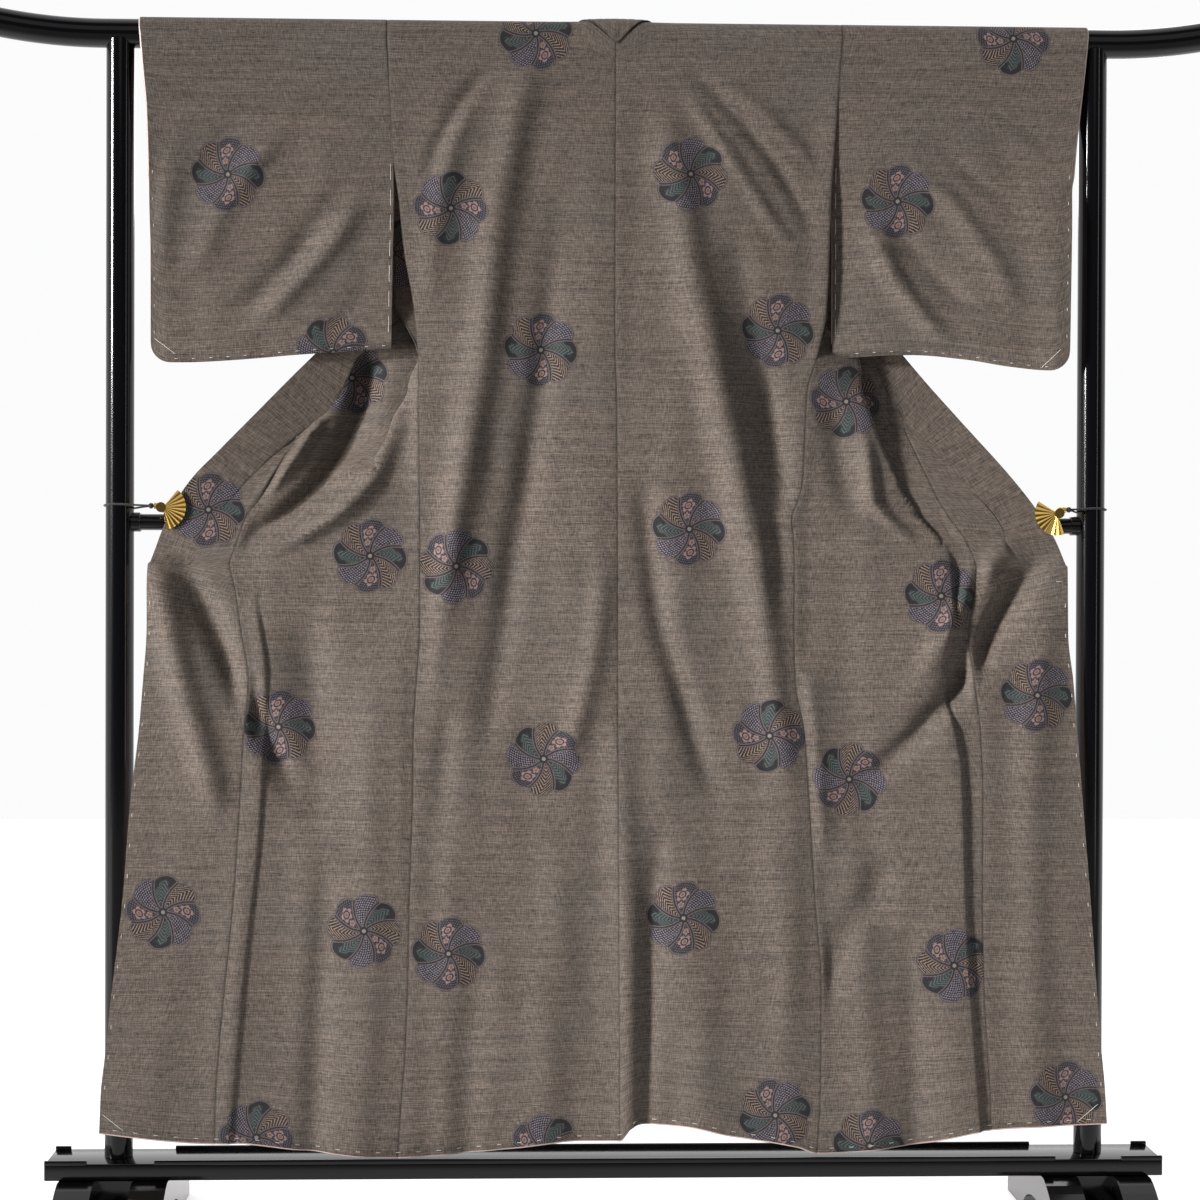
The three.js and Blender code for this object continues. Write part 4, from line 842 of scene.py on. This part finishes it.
def back_panel(name, side, seed):
    rows, way, steps = side["rows"], side["way"], SHOULDER_STEPS
    t = stations(BACK_WIDTH, COLUMN)
    edge = armhole(way, over_bar(-SHOULDER_RUN * steps)[1]) + way * OVERLAP
    x = mix(CENTRE_X - way * OVERLAP, edge, t)
    start = curve(NECK["out"], NECK["run"], np.abs(x - CENTRE_X))
    proud = curve(NECK["out"], NECK["proud"], np.abs(x - CENTRE_X)) * smooth(1.5 - 2 * steps)
    top = shoulder_rows(x[:, :1], x[:, -1:], start, -SHOULDER_RUN, t, proud)
    body = loft(np.concatenate([top[-1:], back_keys(rows, way, t)]), STEP)
    rise = lift(BACK_FOLDS, body[..., 0], body[..., 4]) * body[..., 3]
    free = smooth((LOOSE_TOP - body[..., 4]) / 120) * smooth((1 - t) * 8) * smooth(t * 8)
    body[..., 1] -= rise + waves(body[..., 0], body[..., 4], seed, BACK_WAVES) * free
    grid = np.concatenate([top[:, :, :3], body[1:, :, :3]])
    return cloth_sheet(name, grid, -way, WALL, LINED, seed, lip=LINING_LIP)


def running_sum(values, step):
    sums = np.cumsum((values[:, 1:] + values[:, :-1]) / 2, axis=1) * step
    return np.concatenate([0 * values[:, :1], sums], axis=1)


def per_row(at, xs, ys):
    """Reads straight between points that differ from row to row."""
    return np.stack([np.interp(at, x, y) for x, y in zip(xs, ys)])


def columns_at(rows, names, z):
    return [curve(rows["z"], rows[name], z) for name in names.split()]


def front_rows(rows, folded, way, z, s):
    """x, y and which way the cloth runs (1 outward, -1 inward), at lengths s along each row's cloth."""
    side, side_y, back_y, seam, seam_y = columns_at(rows, "side sideY backY seam seamY", z)
    out, out_y, inner_y, most = columns_at(folded, "out outY innerY most", z)
    side_y = mix(side_y, back_y, smooth((GATHER_TOP + 8 - z) / 28))
    side = side + way * line(UNDERARM["z"], UNDERARM["left" if way < 0 else "right"], z)
    seam = seam + way * np.where(z > COLLAR_TOP_Z, TUCK, OVERLAP)
    reach = (seam - side) * way
    double = np.clip((FRONT_WIDTH - reach) / 2, 0, most)
    radius = np.clip((inner_y - out_y) / 4, LEAST_TURN, MOST_TURN)
    span = double + (math.pi - 2) * radius * smooth(double / (2 * radius))
    fine = np.linspace(0, FRONT_WIDTH, FINE_LENGTHS)[None, :]
    arc = math.pi * radius[:, None]
    turn_out, turn_back = (ramp((fine - at[:, None]) / arc + 0.5) for at in (out, out + span))
    angle = math.pi * (turn_out - turn_back)
    raw_x, raw_y = (running_sum(way_along(angle), fine[0, 1]) for way_along in (np.cos, np.sin))
    first = np.clip(out, 0, FRONT_WIDTH - 10)
    after = np.clip(first + span, first + 4, FRONT_WIDTH - 2)
    shift = (reach - raw_x[:, -1])[:, None]
    beyond = ramp((fine - after[:, None]) / (FRONT_WIDTH - after[:, None]))
    x = raw_x + shift * mix(fine / FRONT_WIDTH, beyond, smooth(double / 12)[:, None])
    ends = np.stack([0 * z, first + 0.01, after, 0 * z + FRONT_WIDTH], axis=1)
    turned = np.stack([np.interp(a, fine[0], r) for a, r in zip(after, raw_y)])
    start_y = mix(side_y, out_y, ramp(out / 8))
    after_y = mix(out_y, inner_y, smooth(double / 6)) - turned
    y = raw_y + per_row(fine[0], ends, np.stack([side_y, start_y, after_y, seam_y - raw_y[:, -1]], axis=1))
    places = np.broadcast_to(fine, y.shape)
    return [per_row(s, places, values) for values in (side[:, None] + way * x, y, np.cos(angle))]


def front_panel(name, side, seed):
    """Side edge, folds and seam of a front, row by row; the folded layers lift all together."""
    rows, folded, way = side["rows"], side["folded"], side["way"]
    s = stations(FRONT_WIDTH, FRONT_COLUMN) * FRONT_WIDTH
    t = s / FRONT_WIDTH
    run = mix(-OVERLAP, SHOULDER_RUN, SHOULDER_STEPS)
    neck = CENTRE_X + way * line(NECK_EDGE["run"], NECK_EDGE["out"], np.abs(run))
    edge = armhole(way, over_bar(run)[1])
    top = shoulder_rows(edge, neck, -OVERLAP, SHOULDER_RUN, t)
    z = FRONT_TOP - (FRONT_TOP - HEM_Z) * stations(FRONT_TOP - HEM_Z, STEP, False)
    x, y, runs = front_rows(rows, folded, way, z, s)
    join = smooth((FRONT_TOP - z) / 30)[:, None]
    x, y = mix(top[-1:, :, 0], x, join), mix(top[-1:, :, 1], y, join)
    z = np.broadcast_to(z[:, None], x.shape)
    outward = smooth(runs * 2 - 0.6) * np.where((z < GATHER_TOP) | (t > 0.5), 1, 0)
    calm = smooth((GATHER_TOP + 6 - z) / 30)
    soft = smooth(t * 12) * smooth((1 - t) * 14)
    y = y - (lift(side["folds"], x, z, -way) + waves(x, z, seed, FRONT_WAVES)) * calm * soft
    grid = np.concatenate([top[:, :, :3], np.stack([x, y, hung(x, z)], -1)])
    facing = np.where(z < GATHER_TOP, outward, (t < 0.4) * 1.0)
    shows = np.concatenate([np.zeros(top.shape[:2]), facing])
    underarm = (z > GATHER_TOP - 40) & (s < UNDERARM_FACING)
    beside_fold = np.abs(s - curve(folded["z"], folded["out"], z)) < CREASE_FACING
    turned_in = underarm | beside_fold & (z > CREASE_END_Z) & (z < GATHER_TOP)
    faced = np.concatenate([np.zeros(top.shape[:2], bool), turned_in])
    return cloth_sheet(name, grid, -way, WALL, LINED, seed, shows=shows, lip=LINING_LIP, faced=faced)


def okumi_panel(name, side, seed):
    """From the outer edge to the front's seam; above COLLAR_END_Z the outer edge tucks into the collar."""
    rows, outer, way = side["rows"], side["okumi"], side["way"]
    t = stations(OKUMI_WIDTH, COLUMN)
    keys = []
    for i, (x0, z0, seam_z) in enumerate(zip(outer["x"], outer["z"], outer["seamZ"])):
        seam = line(rows["z"], rows["seam"], seam_z) - way * OVERLAP
        seam_y = line(rows["z"], rows["seamY"], seam_z)
        outer_y = line(rows["z"], rows["seamY"], z0)
        high = z0 > COLLAR_END_Z
        x = mix(x0 + way * (TUCK if high and i < TUCKED_OUT else 0), seam, t)
        z = mix(z0 + (TUCK if high and i > TUCKED_UP else 0), seam_z, t)
        weight = smooth((1 - t) * 5) * np.where(z > 950, smooth(t * 5), 1)
        keys.append(np.stack([x, mix(outer_y, seam_y, t), hung(x, z), weight, z], -1))
    body = loft(np.stack(keys), STEP)
    x, weight, z = body[..., 0], body[..., 3], body[..., 4]
    uneven = waves(x, z, seed, OKUMI_WAVES) * weight * smooth((OKUMI_WAVES_TOP - z) / 150)
    body[..., 1] -= lift(side["folds"], x, z, -way) * weight + uneven
    return cloth_sheet(name, body[..., :3], way, WALL, LINED, seed, seams=(False, True), lip=LINING_LIP)


def collar_keys(rows, first, last, t):
    seam, outer = (np.stack([rows[edge + axis][first:last] for axis in "XYZ"], -1)
                   for edge in ("seam", "out"))
    return list(mix(seam[:, None], outer[:, None], t[:, None]))


def neck_keys(way, first, t):
    keys = []
    radius = mix(NECK_SEAM_RADIUS, NECK_OUTER_RADIUS, np.sqrt(t))
    for i in range(first, len(NECK_ROWS["out"])):
        x = CENTRE_X + way * mix(NECK_ROWS["out"][i], NECK_ROWS["outerOut"][i], t)
        y, z = over_bar(mix(NECK_ROWS["seamRun"][i], NECK_ROWS["outRun"][i], t), radius)
        keys.append(np.stack([x, y, z], -1))
    return keys


def lower_collar(name, side, seed):
    """A collar's lower end, which follows the folds of the front below COLLAR_FOLDS_TOP."""
    keys = collar_keys(side["collar"], OVER_COLLAR_ROWS - 1, None, stations(LOWER_COLLAR_WIDTH, COLUMN))
    keys[0] = mix(keys[0], keys[1], COLLAR_UNDERLAP)
    grid = loft(np.stack(keys), COLUMN)
    rise = lift(side["folds"], grid[..., 0], grid[..., 2], -side["way"])
    grid[..., 1] -= rise * smooth((COLLAR_FOLDS_TOP - grid[..., 2]) / 60)
    return cloth_sheet(name, grid, -side["way"], COLLAR_WALL, PLAIN, seed, seams=(True, False))


def over_collar(name, seed):
    """The collar from the left front, round the neck on the bar, to the right front."""
    t = stations(OVER_COLLAR_WIDTH, COLUMN)
    left, right = (collar_keys(rows, 0, OVER_COLLAR_ROWS, t) for rows in (LEFT_COLLAR, RIGHT_COLLAR))
    neck = neck_keys(-1, 1, t)[::-1] + neck_keys(1, 0, t)
    grid = loft(np.stack(left[::-1] + neck + right), OVER_COLLAR_STEP)
    return cloth_sheet(name, grid, 1, COLLAR_WALL, PLAIN, seed, seams=(True, False))


# ---- sleeves ----
CUFF_OPENING_END = 1448
CORNER_RADIUS = 27
SLEEVES = {
    "sleeve_left": {
        "way": -1,
        "edge": table("z cuff inner", [
            (1680, -647, -307), (BAR_Z, -645, -307), (1598, -640, -303.4), (1562, -637, -301.25),
            (ARMHOLE_END_Z, -635.5, -297), (1430, -635, -296.5), (1351, -633, -298), (1200, -633, -300)]),
        "bottom": table("x z", [(-633, 1203), (-600, 1203), (-409, 1216), (-293, 1224)]),
        "folds": LEFT_SLEEVE_FOLDS, "swing": 0},
    "sleeve_right": {
        "way": 1,
        "edge": table("z cuff inner", [
            (1680, 672, 327), (BAR_Z, 670, 327), (1616, 666, 324), (1563, 660, 320.2),
            (ARMHOLE_END_Z, 652, 315), (1440, 648, 315), (1356, 647, 316), (1200, 645, 316)]),
        "bottom": table("x z", [
            (316, 1214), (427, 1219), (499, 1213), (567, 1202), (622, 1197), (646, 1197)]),
        "folds": RIGHT_SLEEVE_FOLDS, "swing": 32},
}
SLEEVE_DROP = 450         # about how far a sleeve hangs
SLEEVE_TOP = 22           # rows over the bar
SLEEVE_LOW_Z = 1230       # where the widths at its lower end are read
SLEEVE_SEAM_SHARE = 0.2 / SLEEVE_WIDTH
CUFF_COLUMNS = (0, 0.8, 2, 4, 7, 11, 16, 21, 26)   # closer together at the cuff


def across_sleeve(sleeve, z, s):
    """x from the cuff at s = 0 to the inner edge at s = 1."""
    edge = sleeve["edge"]
    return mix(curve(edge["z"], edge["cuff"], z), curve(edge["z"], edge["inner"], z), s)


def sleeve_bottom(sleeve, s, inset):
    """z of the lower edge, rounded at the cuff's corner."""
    cuff, x = across_sleeve(sleeve, SLEEVE_LOW_Z, 0), across_sleeve(sleeve, SLEEVE_LOW_Z, s)
    level = curve(sleeve["bottom"]["x"], sleeve["bottom"]["z"], x)
    radius = CORNER_RADIUS - inset
    inside = np.maximum(0, radius - np.maximum(0, np.abs(x - cuff) - inset))
    return level + inset + radius - np.sqrt(radius * radius - inside * inside)


def sleeve_half_depth(s, z, bottom):
    """Half the bag's depth: round over the bar, flat below, sewn shut at the cuff under its opening."""
    low = 3.3 + 5 * smooth(s * 2)
    start = mix(1440, 1290, smooth(s))
    half = mix(low, DRAPE_RADIUS + CAD_WALL / 2, smooth((z - start) / (1640 - start)))
    sewn = smooth((CUFF_OPENING_END + 25 - z) / 30) * (1 - smooth(s * 14))
    half = mix(half, 1.0, sewn)
    return half * (0.12 + 0.88 * np.sqrt(smooth((z - bottom) / 14)))


def sleeve_surface(sleeve, s, inset):
    """Points of the bag, columns by s, rows up the -Y side, over the bar and down the +Y side."""
    s = s[None, :]
    bottom = sleeve_bottom(sleeve, s, inset)
    z = mix(bottom, BAR_Z, stations(SLEEVE_DROP, STEP, True, False)[:, None])
    half = np.maximum(0.25, sleeve_half_depth(s, z, bottom) - inset)
    x = across_sleeve(sleeve, z, s)
    uneven = waves(x, z, SLEEVE_WAVE_SEED + sleeve["way"], SLEEVE_WAVES)
    drift = smooth((LOOSE_TOP - z) / 200) * smooth((1 - s) * 4) * (lift(sleeve["folds"], x, z) + uneven)
    drift = drift + sleeve["swing"] * (1 - s) * smooth((1640 - z) / 260)
    near, far = (np.stack([x, side * half - drift, z], -1) for side in (-1, 1))
    angle = (np.linspace(0, 1, SLEEVE_TOP)[1:-1, None] - 0.5) * math.pi
    radius = DRAPE_RADIUS + CAD_WALL / 2 - inset
    top_z = BAR_Z + radius * np.cos(angle) + 0 * s
    top = np.stack([across_sleeve(sleeve, top_z, s), radius * np.sin(angle) + 0 * s, top_z], -1)
    return np.concatenate([near, top, far[::-1]])


def sleeve_panel(name, seed):
    """A bag: a ring of rows round the bar, open at the cuff and along the inner edge."""
    sleeve = SLEEVES[name]
    plain_columns = stations(SLEEVE_WIDTH, COLUMN)[len(CUFF_COLUMNS):]
    s = np.minimum(np.concatenate([np.array(CUFF_COLUMNS) / SLEEVE_WIDTH, plain_columns]),
                   1 - SLEEVE_SEAM_SHARE)
    outer, inner = (sleeve_surface(sleeve, s, inset) + np.array([GARMENT_X, 0, 0]) for inset in (0, WALL))
    rows, cols = outer.shape[:2]
    half = rows * cols
    inner[:, 0, 0] += sleeve["way"] * LINING_LIP * smooth((inner[:, 0, 2] - CUFF_OPENING_END) / 20)
    here = np.arange(rows) * cols
    after = np.roll(here, -1)
    a, b = (ring[:, None] + np.arange(cols - 1) for ring in (here, after))
    skin = np.stack([a, b, b + 1, a + 1], -1).reshape(-1, 4)
    cuff = np.stack([here, here + half, after + half, after], -1)
    mouth = np.stack([here, after, after + half, here + half], -1) + cols - 1
    faces = np.concatenate([skin, (skin + half)[:, ::-1], cuff, mouth])
    if sleeve["way"] < 0:
        faces = faces[:, ::-1]
    slots = np.repeat([0, 1, 0], [len(skin), len(skin) + len(cuff), len(mouth)])
    verts = np.concatenate([outer.reshape(-1, 3), inner.reshape(-1, 3)])
    obj = cloth_object(name, verts, faces, LINED, slots)
    near_seam = np.exp(-((1 - s) * SLEEVE_WIDTH / SEAM_REACH) ** 2) * (outer[..., 2] > ARMHOLE_END_Z)
    on_back = np.arange(rows)[:, None] < (rows - SLEEVE_TOP) // 2 + SLEEVE_TOP // 2
    write_places(obj, name, outer, s * SLEEVE_WIDTH, run_along(lengths(outer, 0).mean(axis=1)),
                 near_seam, on_back.astype(float), seed)
    return obj


# ---- tubes, blocks and other hard forms ----
def tube(points, radii, sides):
    """Vertices and faces of a closed round tube through points, in mm, with a radius at each."""
    points = np.asarray(points, float)
    radii = np.broadcast_to(radii, (len(points),))
    ahead = np.gradient(points, axis=0)
    ahead /= np.linalg.norm(ahead, axis=1, keepdims=True)
    reference = np.array([0, 0, 1.0]) if abs(ahead[0][2]) < 0.9 else np.array([0, 1.0, 0])
    side = np.cross(ahead[0], reference)
    verts = []
    angles = np.linspace(0, 2 * math.pi, sides, endpoint=False)
    for point, way, radius in zip(points, ahead, radii):
        side = side - way * np.dot(side, way)
        side /= np.linalg.norm(side)
        up = np.cross(side, way)
        verts.append(point + radius * (np.cos(angles)[:, None] * side + np.sin(angles)[:, None] * up))
    verts = np.concatenate(verts)
    last = (len(points) - 1) * sides
    faces = []
    for a in range(0, last, sides):
        for j in range(sides):
            k = (j + 1) % sides
            faces.append((a + j, a + k, a + sides + k, a + sides + j))
    faces.append(tuple(range(sides))[::-1])
    faces.append(tuple(range(last, last + sides)))
    return verts, faces


def joined(parts):
    verts, faces, start = [], [], 0
    for part_verts, part_faces in parts:
        verts.append(np.asarray(part_verts, float))
        faces += [tuple(start + i for i in face) for face in part_faces]
        start += len(part_verts)
    return np.concatenate(verts), faces


def hard_object(name, parts, material):
    verts, faces = joined(parts)
    mesh = bpy.data.meshes.new(name)
    mesh.from_pydata((verts * MM).tolist(), [], faces)
    mesh.materials.append(material)
    bm = bmesh.new()
    bm.from_mesh(mesh)
    bmesh.ops.recalc_face_normals(bm, faces=bm.faces)
    bm.to_mesh(mesh)
    bm.free()
    shaded(mesh, HARD_SHARP)
    return linked(name, mesh)


def rounded_block(x0, x1, y0, y1, z0, z1, radius):
    bm = bmesh.new()
    bmesh.ops.create_cube(bm, size=1)
    for v in bm.verts:
        v.co = Vector((mix(x0, x1, v.co.x + 0.5), mix(y0, y1, v.co.y + 0.5), mix(z0, z1, v.co.z + 0.5)))
    bmesh.ops.bevel(bm, geom=bm.edges[:], offset=radius, segments=3, affect="EDGES", profile=0.5)
    verts = [tuple(v.co) for v in bm.verts]
    faces = [tuple(v.index for v in f.verts) for f in bm.faces]
    bm.free()
    return verts, faces


def top_bar():
    right = np.linspace(BAR_STRAIGHT_HALF, BAR_HALF, 40)
    x = np.concatenate([-right[::-1], right])
    past = np.maximum(0, np.abs(x) - BAR_STRAIGHT_HALF) / (BAR_HALF - BAR_STRAIGHT_HALF)
    points = np.stack([x, 0 * x, BAR_Z + BAR_END_RISE * past * past], -1)
    from_end = BAR_HALF - np.abs(x)
    radii = BAR_RADIUS - 4 * (1 - np.sqrt(np.clip(1 - (1 - np.clip(from_end / 6, 0, 1)) ** 2, 0, 1)))
    return hard_object("lacquer_top_bar", [tube(points, radii, 64)], LACQUER)


def post(name, x):
    low, high, slant = BEAM_TOP + 0.3, BAR_Z - 8, 0.6
    points = [(x, 0, z) for z in (low, low + slant, high - slant, high)]
    radii = [POST_RADIUS - slant, POST_RADIUS, POST_RADIUS, POST_RADIUS - slant]
    return hard_object(name, [tube(points, radii, 56)], LACQUER)


def mid_rail():
    inner = POST_X - POST_RADIUS + 3
    collars = []
    for way in (-1, 1):
        face = way * (POST_X - POST_RADIUS - RAIL_COLLAR_LENGTH)
        x = [face, face + way * 1.2, face + way * RAIL_COLLAR_LENGTH + way * 3]
        collars.append(tube([(a, 0, RAIL_Z) for a in x],
                            [RAIL_COLLAR_RADIUS - 1.2, RAIL_COLLAR_RADIUS, RAIL_COLLAR_RADIUS], 48))
    bar = tube([(-inner, 0, RAIL_Z), (inner, 0, RAIL_Z)], RAIL_RADIUS, 48)
    return hard_object("lacquer_mid_rail", [bar] + collars, LACQUER)


def base_beam():
    half = BEAM_DEPTH / 2
    parts = [rounded_block(-BEAM_HALF, BEAM_HALF, -half, half, BEAM_BOTTOM, BEAM_TOP, 2.0)]
    for side, notch in ((-1, FRONT_NOTCH), (1, BACK_NOTCH)):
        near, far = sorted((side * (half - LIP_WIDTH), side * half))
        for x0, x1 in ((-BEAM_HALF, notch[0]), (notch[1], -notch[1]), (-notch[0], BEAM_HALF)):
            parts.append(rounded_block(x0, x1, near, far, BEAM_TOP - 3, LIP_TOP, 1.4))
    return hard_object("lacquer_base_beam", parts, LACQUER)


# ---- basting threads, left in after sewing ----
THREAD_RADIUS, THREAD_SIDES = 0.33, 6
SUNK = 0.5                # how deep a stitch's ends go into the cloth
# stitch and space of each kind of running stitch
HEM_STITCH, FRONT_STITCH, CUFF_STITCH = (7, 21), (6, 36), (5, 32)
SLEEVE_STITCH, ARMHOLE_STITCH = (5, 19), (26.0, 9.0)
RAY_FROM = -0.6           # y, in metres, in front of all the cloth
# single long stitches: the two ends of each
LONG_STITCHES = {
    "sleeve_left": [(-629, 1237), (-598, 1214)], "sleeve_right": [(605, 1200), (633, 1227)],
    "corner_left": [(-694, 163), (-664, 140)], "corner_right": [(662, 146), (692, 172)],
    "tack_right": [(629, 903), (637, 903)]}


def seen_side(objects):
    """A tree that finds the cloth's -Y side."""
    verts, faces = [], []
    for obj in objects:
        start = len(verts)
        verts += [tuple(v.co) for v in obj.data.vertices]
        faces += [tuple(start + i for i in face.vertices) for face in obj.data.polygons]
    return BVHTree.FromPolygons(verts, faces)


def stitch(tree, path):
    """A thin tube laid on the cloth along x, z points, its two ends sunk into it."""
    points = []
    for i, (x, z) in enumerate(path):
        at = tree.ray_cast(Vector(((x + GARMENT_X) * MM, RAY_FROM, z * MM)), Vector((0, 1, 0)))[0]
        if at is None:
            return None
        proud = -SUNK if i in (0, len(path) - 1) else THREAD_RADIUS * 0.8
        points.append((x + GARMENT_X, at.y / MM - proud, z))
    return tube(points, THREAD_RADIUS, THREAD_SIDES)


def running_stitch(tree, x, z, kind):
    dash, space = kind
    run = run_along(lengths(np.stack([x, z], -1), 0))
    parts = []
    for start in np.arange(space / 2, run[-1] - dash, dash + space):
        at = start + dash * np.linspace(0, 1, 5)
        parts.append(stitch(tree, np.stack([np.interp(at, run, x), np.interp(at, run, z)], -1)))
    return [part for part in parts if part]


def threads(pieces):
    """Running stitches a few mm in from the hem, the front edges and the sleeves' edges."""
    tree = seen_side(pieces.values())

    def laid(name, stitches):
        carried(hard_object("thread_" + name, stitches, THREAD), "thread")

    x = np.linspace(-690, 696, 90)
    laid("hem", running_stitch(tree, x, curve(HEM["x"], HEM["z"], x) + 6, HEM_STITCH))
    fronts = []
    for side in SIDES.values():
        z = np.linspace(890, 190, 40)
        x = curve(side["okumi"]["z"], side["okumi"]["x"], z) - side["way"] * 4
        fronts += running_stitch(tree, x, z, FRONT_STITCH)
    laid("fronts", fronts)
    for name, sleeve in SLEEVES.items():
        level, edge, way = sleeve["bottom"], sleeve["edge"], sleeve["way"]
        x = np.linspace(level["x"][0], level["x"][-1], 30)[2:-1]
        parts = running_stitch(tree, x, curve(level["x"], level["z"], x) + 5, SLEEVE_STITCH)
        z = np.linspace(ARMHOLE_END_Z - 6, 1236, 20)
        parts += running_stitch(tree, curve(edge["z"], edge["inner"], z) + way * 4, z, ARMHOLE_STITCH)
        parts += running_stitch(tree, curve(edge["z"], edge["cuff"], z) - way * 5, z, CUFF_STITCH)
        laid(name, parts)
    for name, ends in LONG_STITCHES.items():
        long_stitch = stitch(tree, np.stack([np.linspace(a, b, 12) for a, b in zip(*ends)], -1))
        if long_stitch:
            laid("long_" + name, [long_stitch])


# ---- putting it together ----
def carried(obj, slot, *nodes):
    """Hands a piece over: it rides on the one body, and it replaces the part's nodes named."""
    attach(obj, "root")
    if nodes:
        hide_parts(*nodes)


FLOOR_NEAR, FLOOR_FAR = (0.30, 0.30, 0.305, 1), (0.86, 0.86, 0.87, 1)
FLOOR_HALF, FLOOR_GLOW = 6, 0.38
# y where the floor and the room start to turn pale, and where they are pale
FLOOR_TURN, STUDIO_TURN = (-1.4, 0.1), (-0.4, 0.05)


def stage():
    """A floor that turns paler and glows a little behind the garment."""
    bm = bmesh.new()
    bmesh.ops.create_grid(bm, x_segments=2, y_segments=2, size=FLOOR_HALF)
    mesh = bpy.data.meshes.new("floor")
    bm.to_mesh(mesh)
    bm.free()
    floor = linked("floor", mesh)
    s = Shader("pale_floor", Roughness=0.7, Emission_Color=(1, 1, 1, 1))
    behind = s.place()[1].ramp(*FLOOR_TURN)
    s.set("Base Color", s.blend(behind, FLOOR_NEAR, FLOOR_FAR))
    s.set("Emission Strength", behind * FLOOR_GLOW)
    mesh.materials.append(s.material)


CAMERA_AT = (-0.146, -3.591, 0.908)
CAMERA_YAW, CAMERA_PITCH, CAMERA_ROLL = 2.143, -0.530, 0.198   # degrees
CAMERA_FOV = 26.285


def camera():
    data = bpy.data.cameras.new("camera")
    data.sensor_fit = "HORIZONTAL"
    data.angle = math.radians(CAMERA_FOV)
    data.clip_end = 50
    obj = linked("camera", data)
    yaw, pitch, roll = (math.radians(a) for a in (CAMERA_YAW, CAMERA_PITCH, CAMERA_ROLL))
    ahead = Vector((math.sin(yaw) * math.cos(pitch), math.cos(yaw) * math.cos(pitch), math.sin(pitch)))
    right = Vector((math.cos(yaw), -math.sin(yaw), 0))
    up = right.cross(ahead)
    right_rolled = right * math.cos(roll) + up * math.sin(roll)
    up_rolled = up * math.cos(roll) - right * math.sin(roll)
    turn = Matrix((right_rolled, up_rolled, -ahead)).transposed().to_4x4()
    obj.matrix_world = Matrix.Translation(CAMERA_AT) @ turn
    bpy.context.scene.camera = obj


def area_light(name, at, target, size, power, spread=None):
    """A soft light; with a spread in degrees it is a beam that shiny things don't show."""
    data = bpy.data.lights.new(name, "AREA")
    data.shape = "RECTANGLE"
    data.size, data.size_y = size
    data.energy = power
    obj = linked(name, data)
    obj.location = at
    obj.rotation_euler = (Vector(target) - Vector(at)).to_track_quat("-Z", "Y").to_euler()
    if spread:
        data.spread = math.radians(spread)
        obj.visible_glossy = False


STUDIO_DARK, STUDIO_PALE = (0.065, 0.065, 0.07, 1), (0.97, 0.97, 0.975, 1)


def studio():
    """A room that is pale behind the garment and dimmer on the side that its back faces."""
    world = bpy.data.worlds.new("studio")
    bpy.context.scene.world = world
    world.use_nodes = True
    tree = world.node_tree
    share = split(tree, tree.nodes.new("ShaderNodeTexCoord").outputs["Generated"])[1].ramp(*STUDIO_TURN)
    background = tree.nodes["Background"]
    feed(tree, background.inputs["Color"], blend(tree, share, STUDIO_DARK, STUDIO_PALE))
    background.inputs["Strength"].default_value = 1.0


def sun(name, azimuth, height, angle, power):
    """A distant light; azimuth is in degrees to the right of straight behind the camera."""
    data = bpy.data.lights.new(name, "SUN")
    data.angle = math.radians(angle)
    data.energy = power
    obj = linked(name, data)
    a, h = math.radians(azimuth), math.radians(height)
    toward = Vector((math.sin(a) * math.cos(h), -math.cos(a) * math.cos(h), math.sin(h)))
    obj.rotation_euler = toward.to_track_quat("Z", "Y").to_euler()


def lights():
    sun("key", -62, 9, 8, 4.1)
    area_light("beam", (-2.5, -1.5, 0.85), (0.35, 0, 0.85), (0.4, 0.7), 5.2, spread=44)
    sun("top", 5, 30, 40, 0.15)
    area_light("fill", (2.8, -2.4, 1.3), (0, 0, 0.9), (0.25, 2.4), 5)
    area_light("behind", (0.5, 3.0, 2.6), (0, 0, 1.0), (2.2, 1.6), 30)
    area_light("strip", (-3.2, -0.7, 1.0), (0, 0, 0.95), (0.12, 2.2), 3)
    studio()
    bpy.context.scene.view_settings.view_transform = "Standard"


CAD_MATERIALS = {"foot": LACQUER, "clip": GOLD, "elastic": ELASTIC}   # solids shown as they are


def main():
    stage()
    camera()
    lights()
    pieces, seed = {}, 0
    for kind, build in (("back", back_panel), ("front", front_panel), ("okumi", okumi_panel),
                        ("collar", lower_collar)):
        for side_name, side in SIDES.items():
            seed += 1
            name = kind + "_" + side_name
            pieces[name] = build(name, side, seed)
    pieces["over_collar"] = over_collar("over_collar", seed + 1)
    pieces["sleeve_left"] = sleeve_panel("sleeve_left", seed + 2)
    pieces["sleeve_right"] = sleeve_panel("sleeve_right", seed + 3)
    threads(pieces)
    for node, obj in pieces.items():
        obj.name = "cloth_" + node
        carried(obj, "cloth", node)
    carried(top_bar(), "lacquer", "top_bar", "bar_end_left", "bar_end_right")
    for side_name, side in SIDES.items():
        name = "post_" + side_name
        carried(post("lacquer_" + name, side["way"] * POST_X), "lacquer", name)
    carried(mid_rail(), "lacquer", "mid_rail")
    carried(base_beam(), "lacquer", "base_beam")
    for kind, material in CAD_MATERIALS.items():
        for side_name in SIDES:
            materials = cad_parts[kind + "_" + side_name].data.materials
            materials.clear()
            materials.append(material)


main()
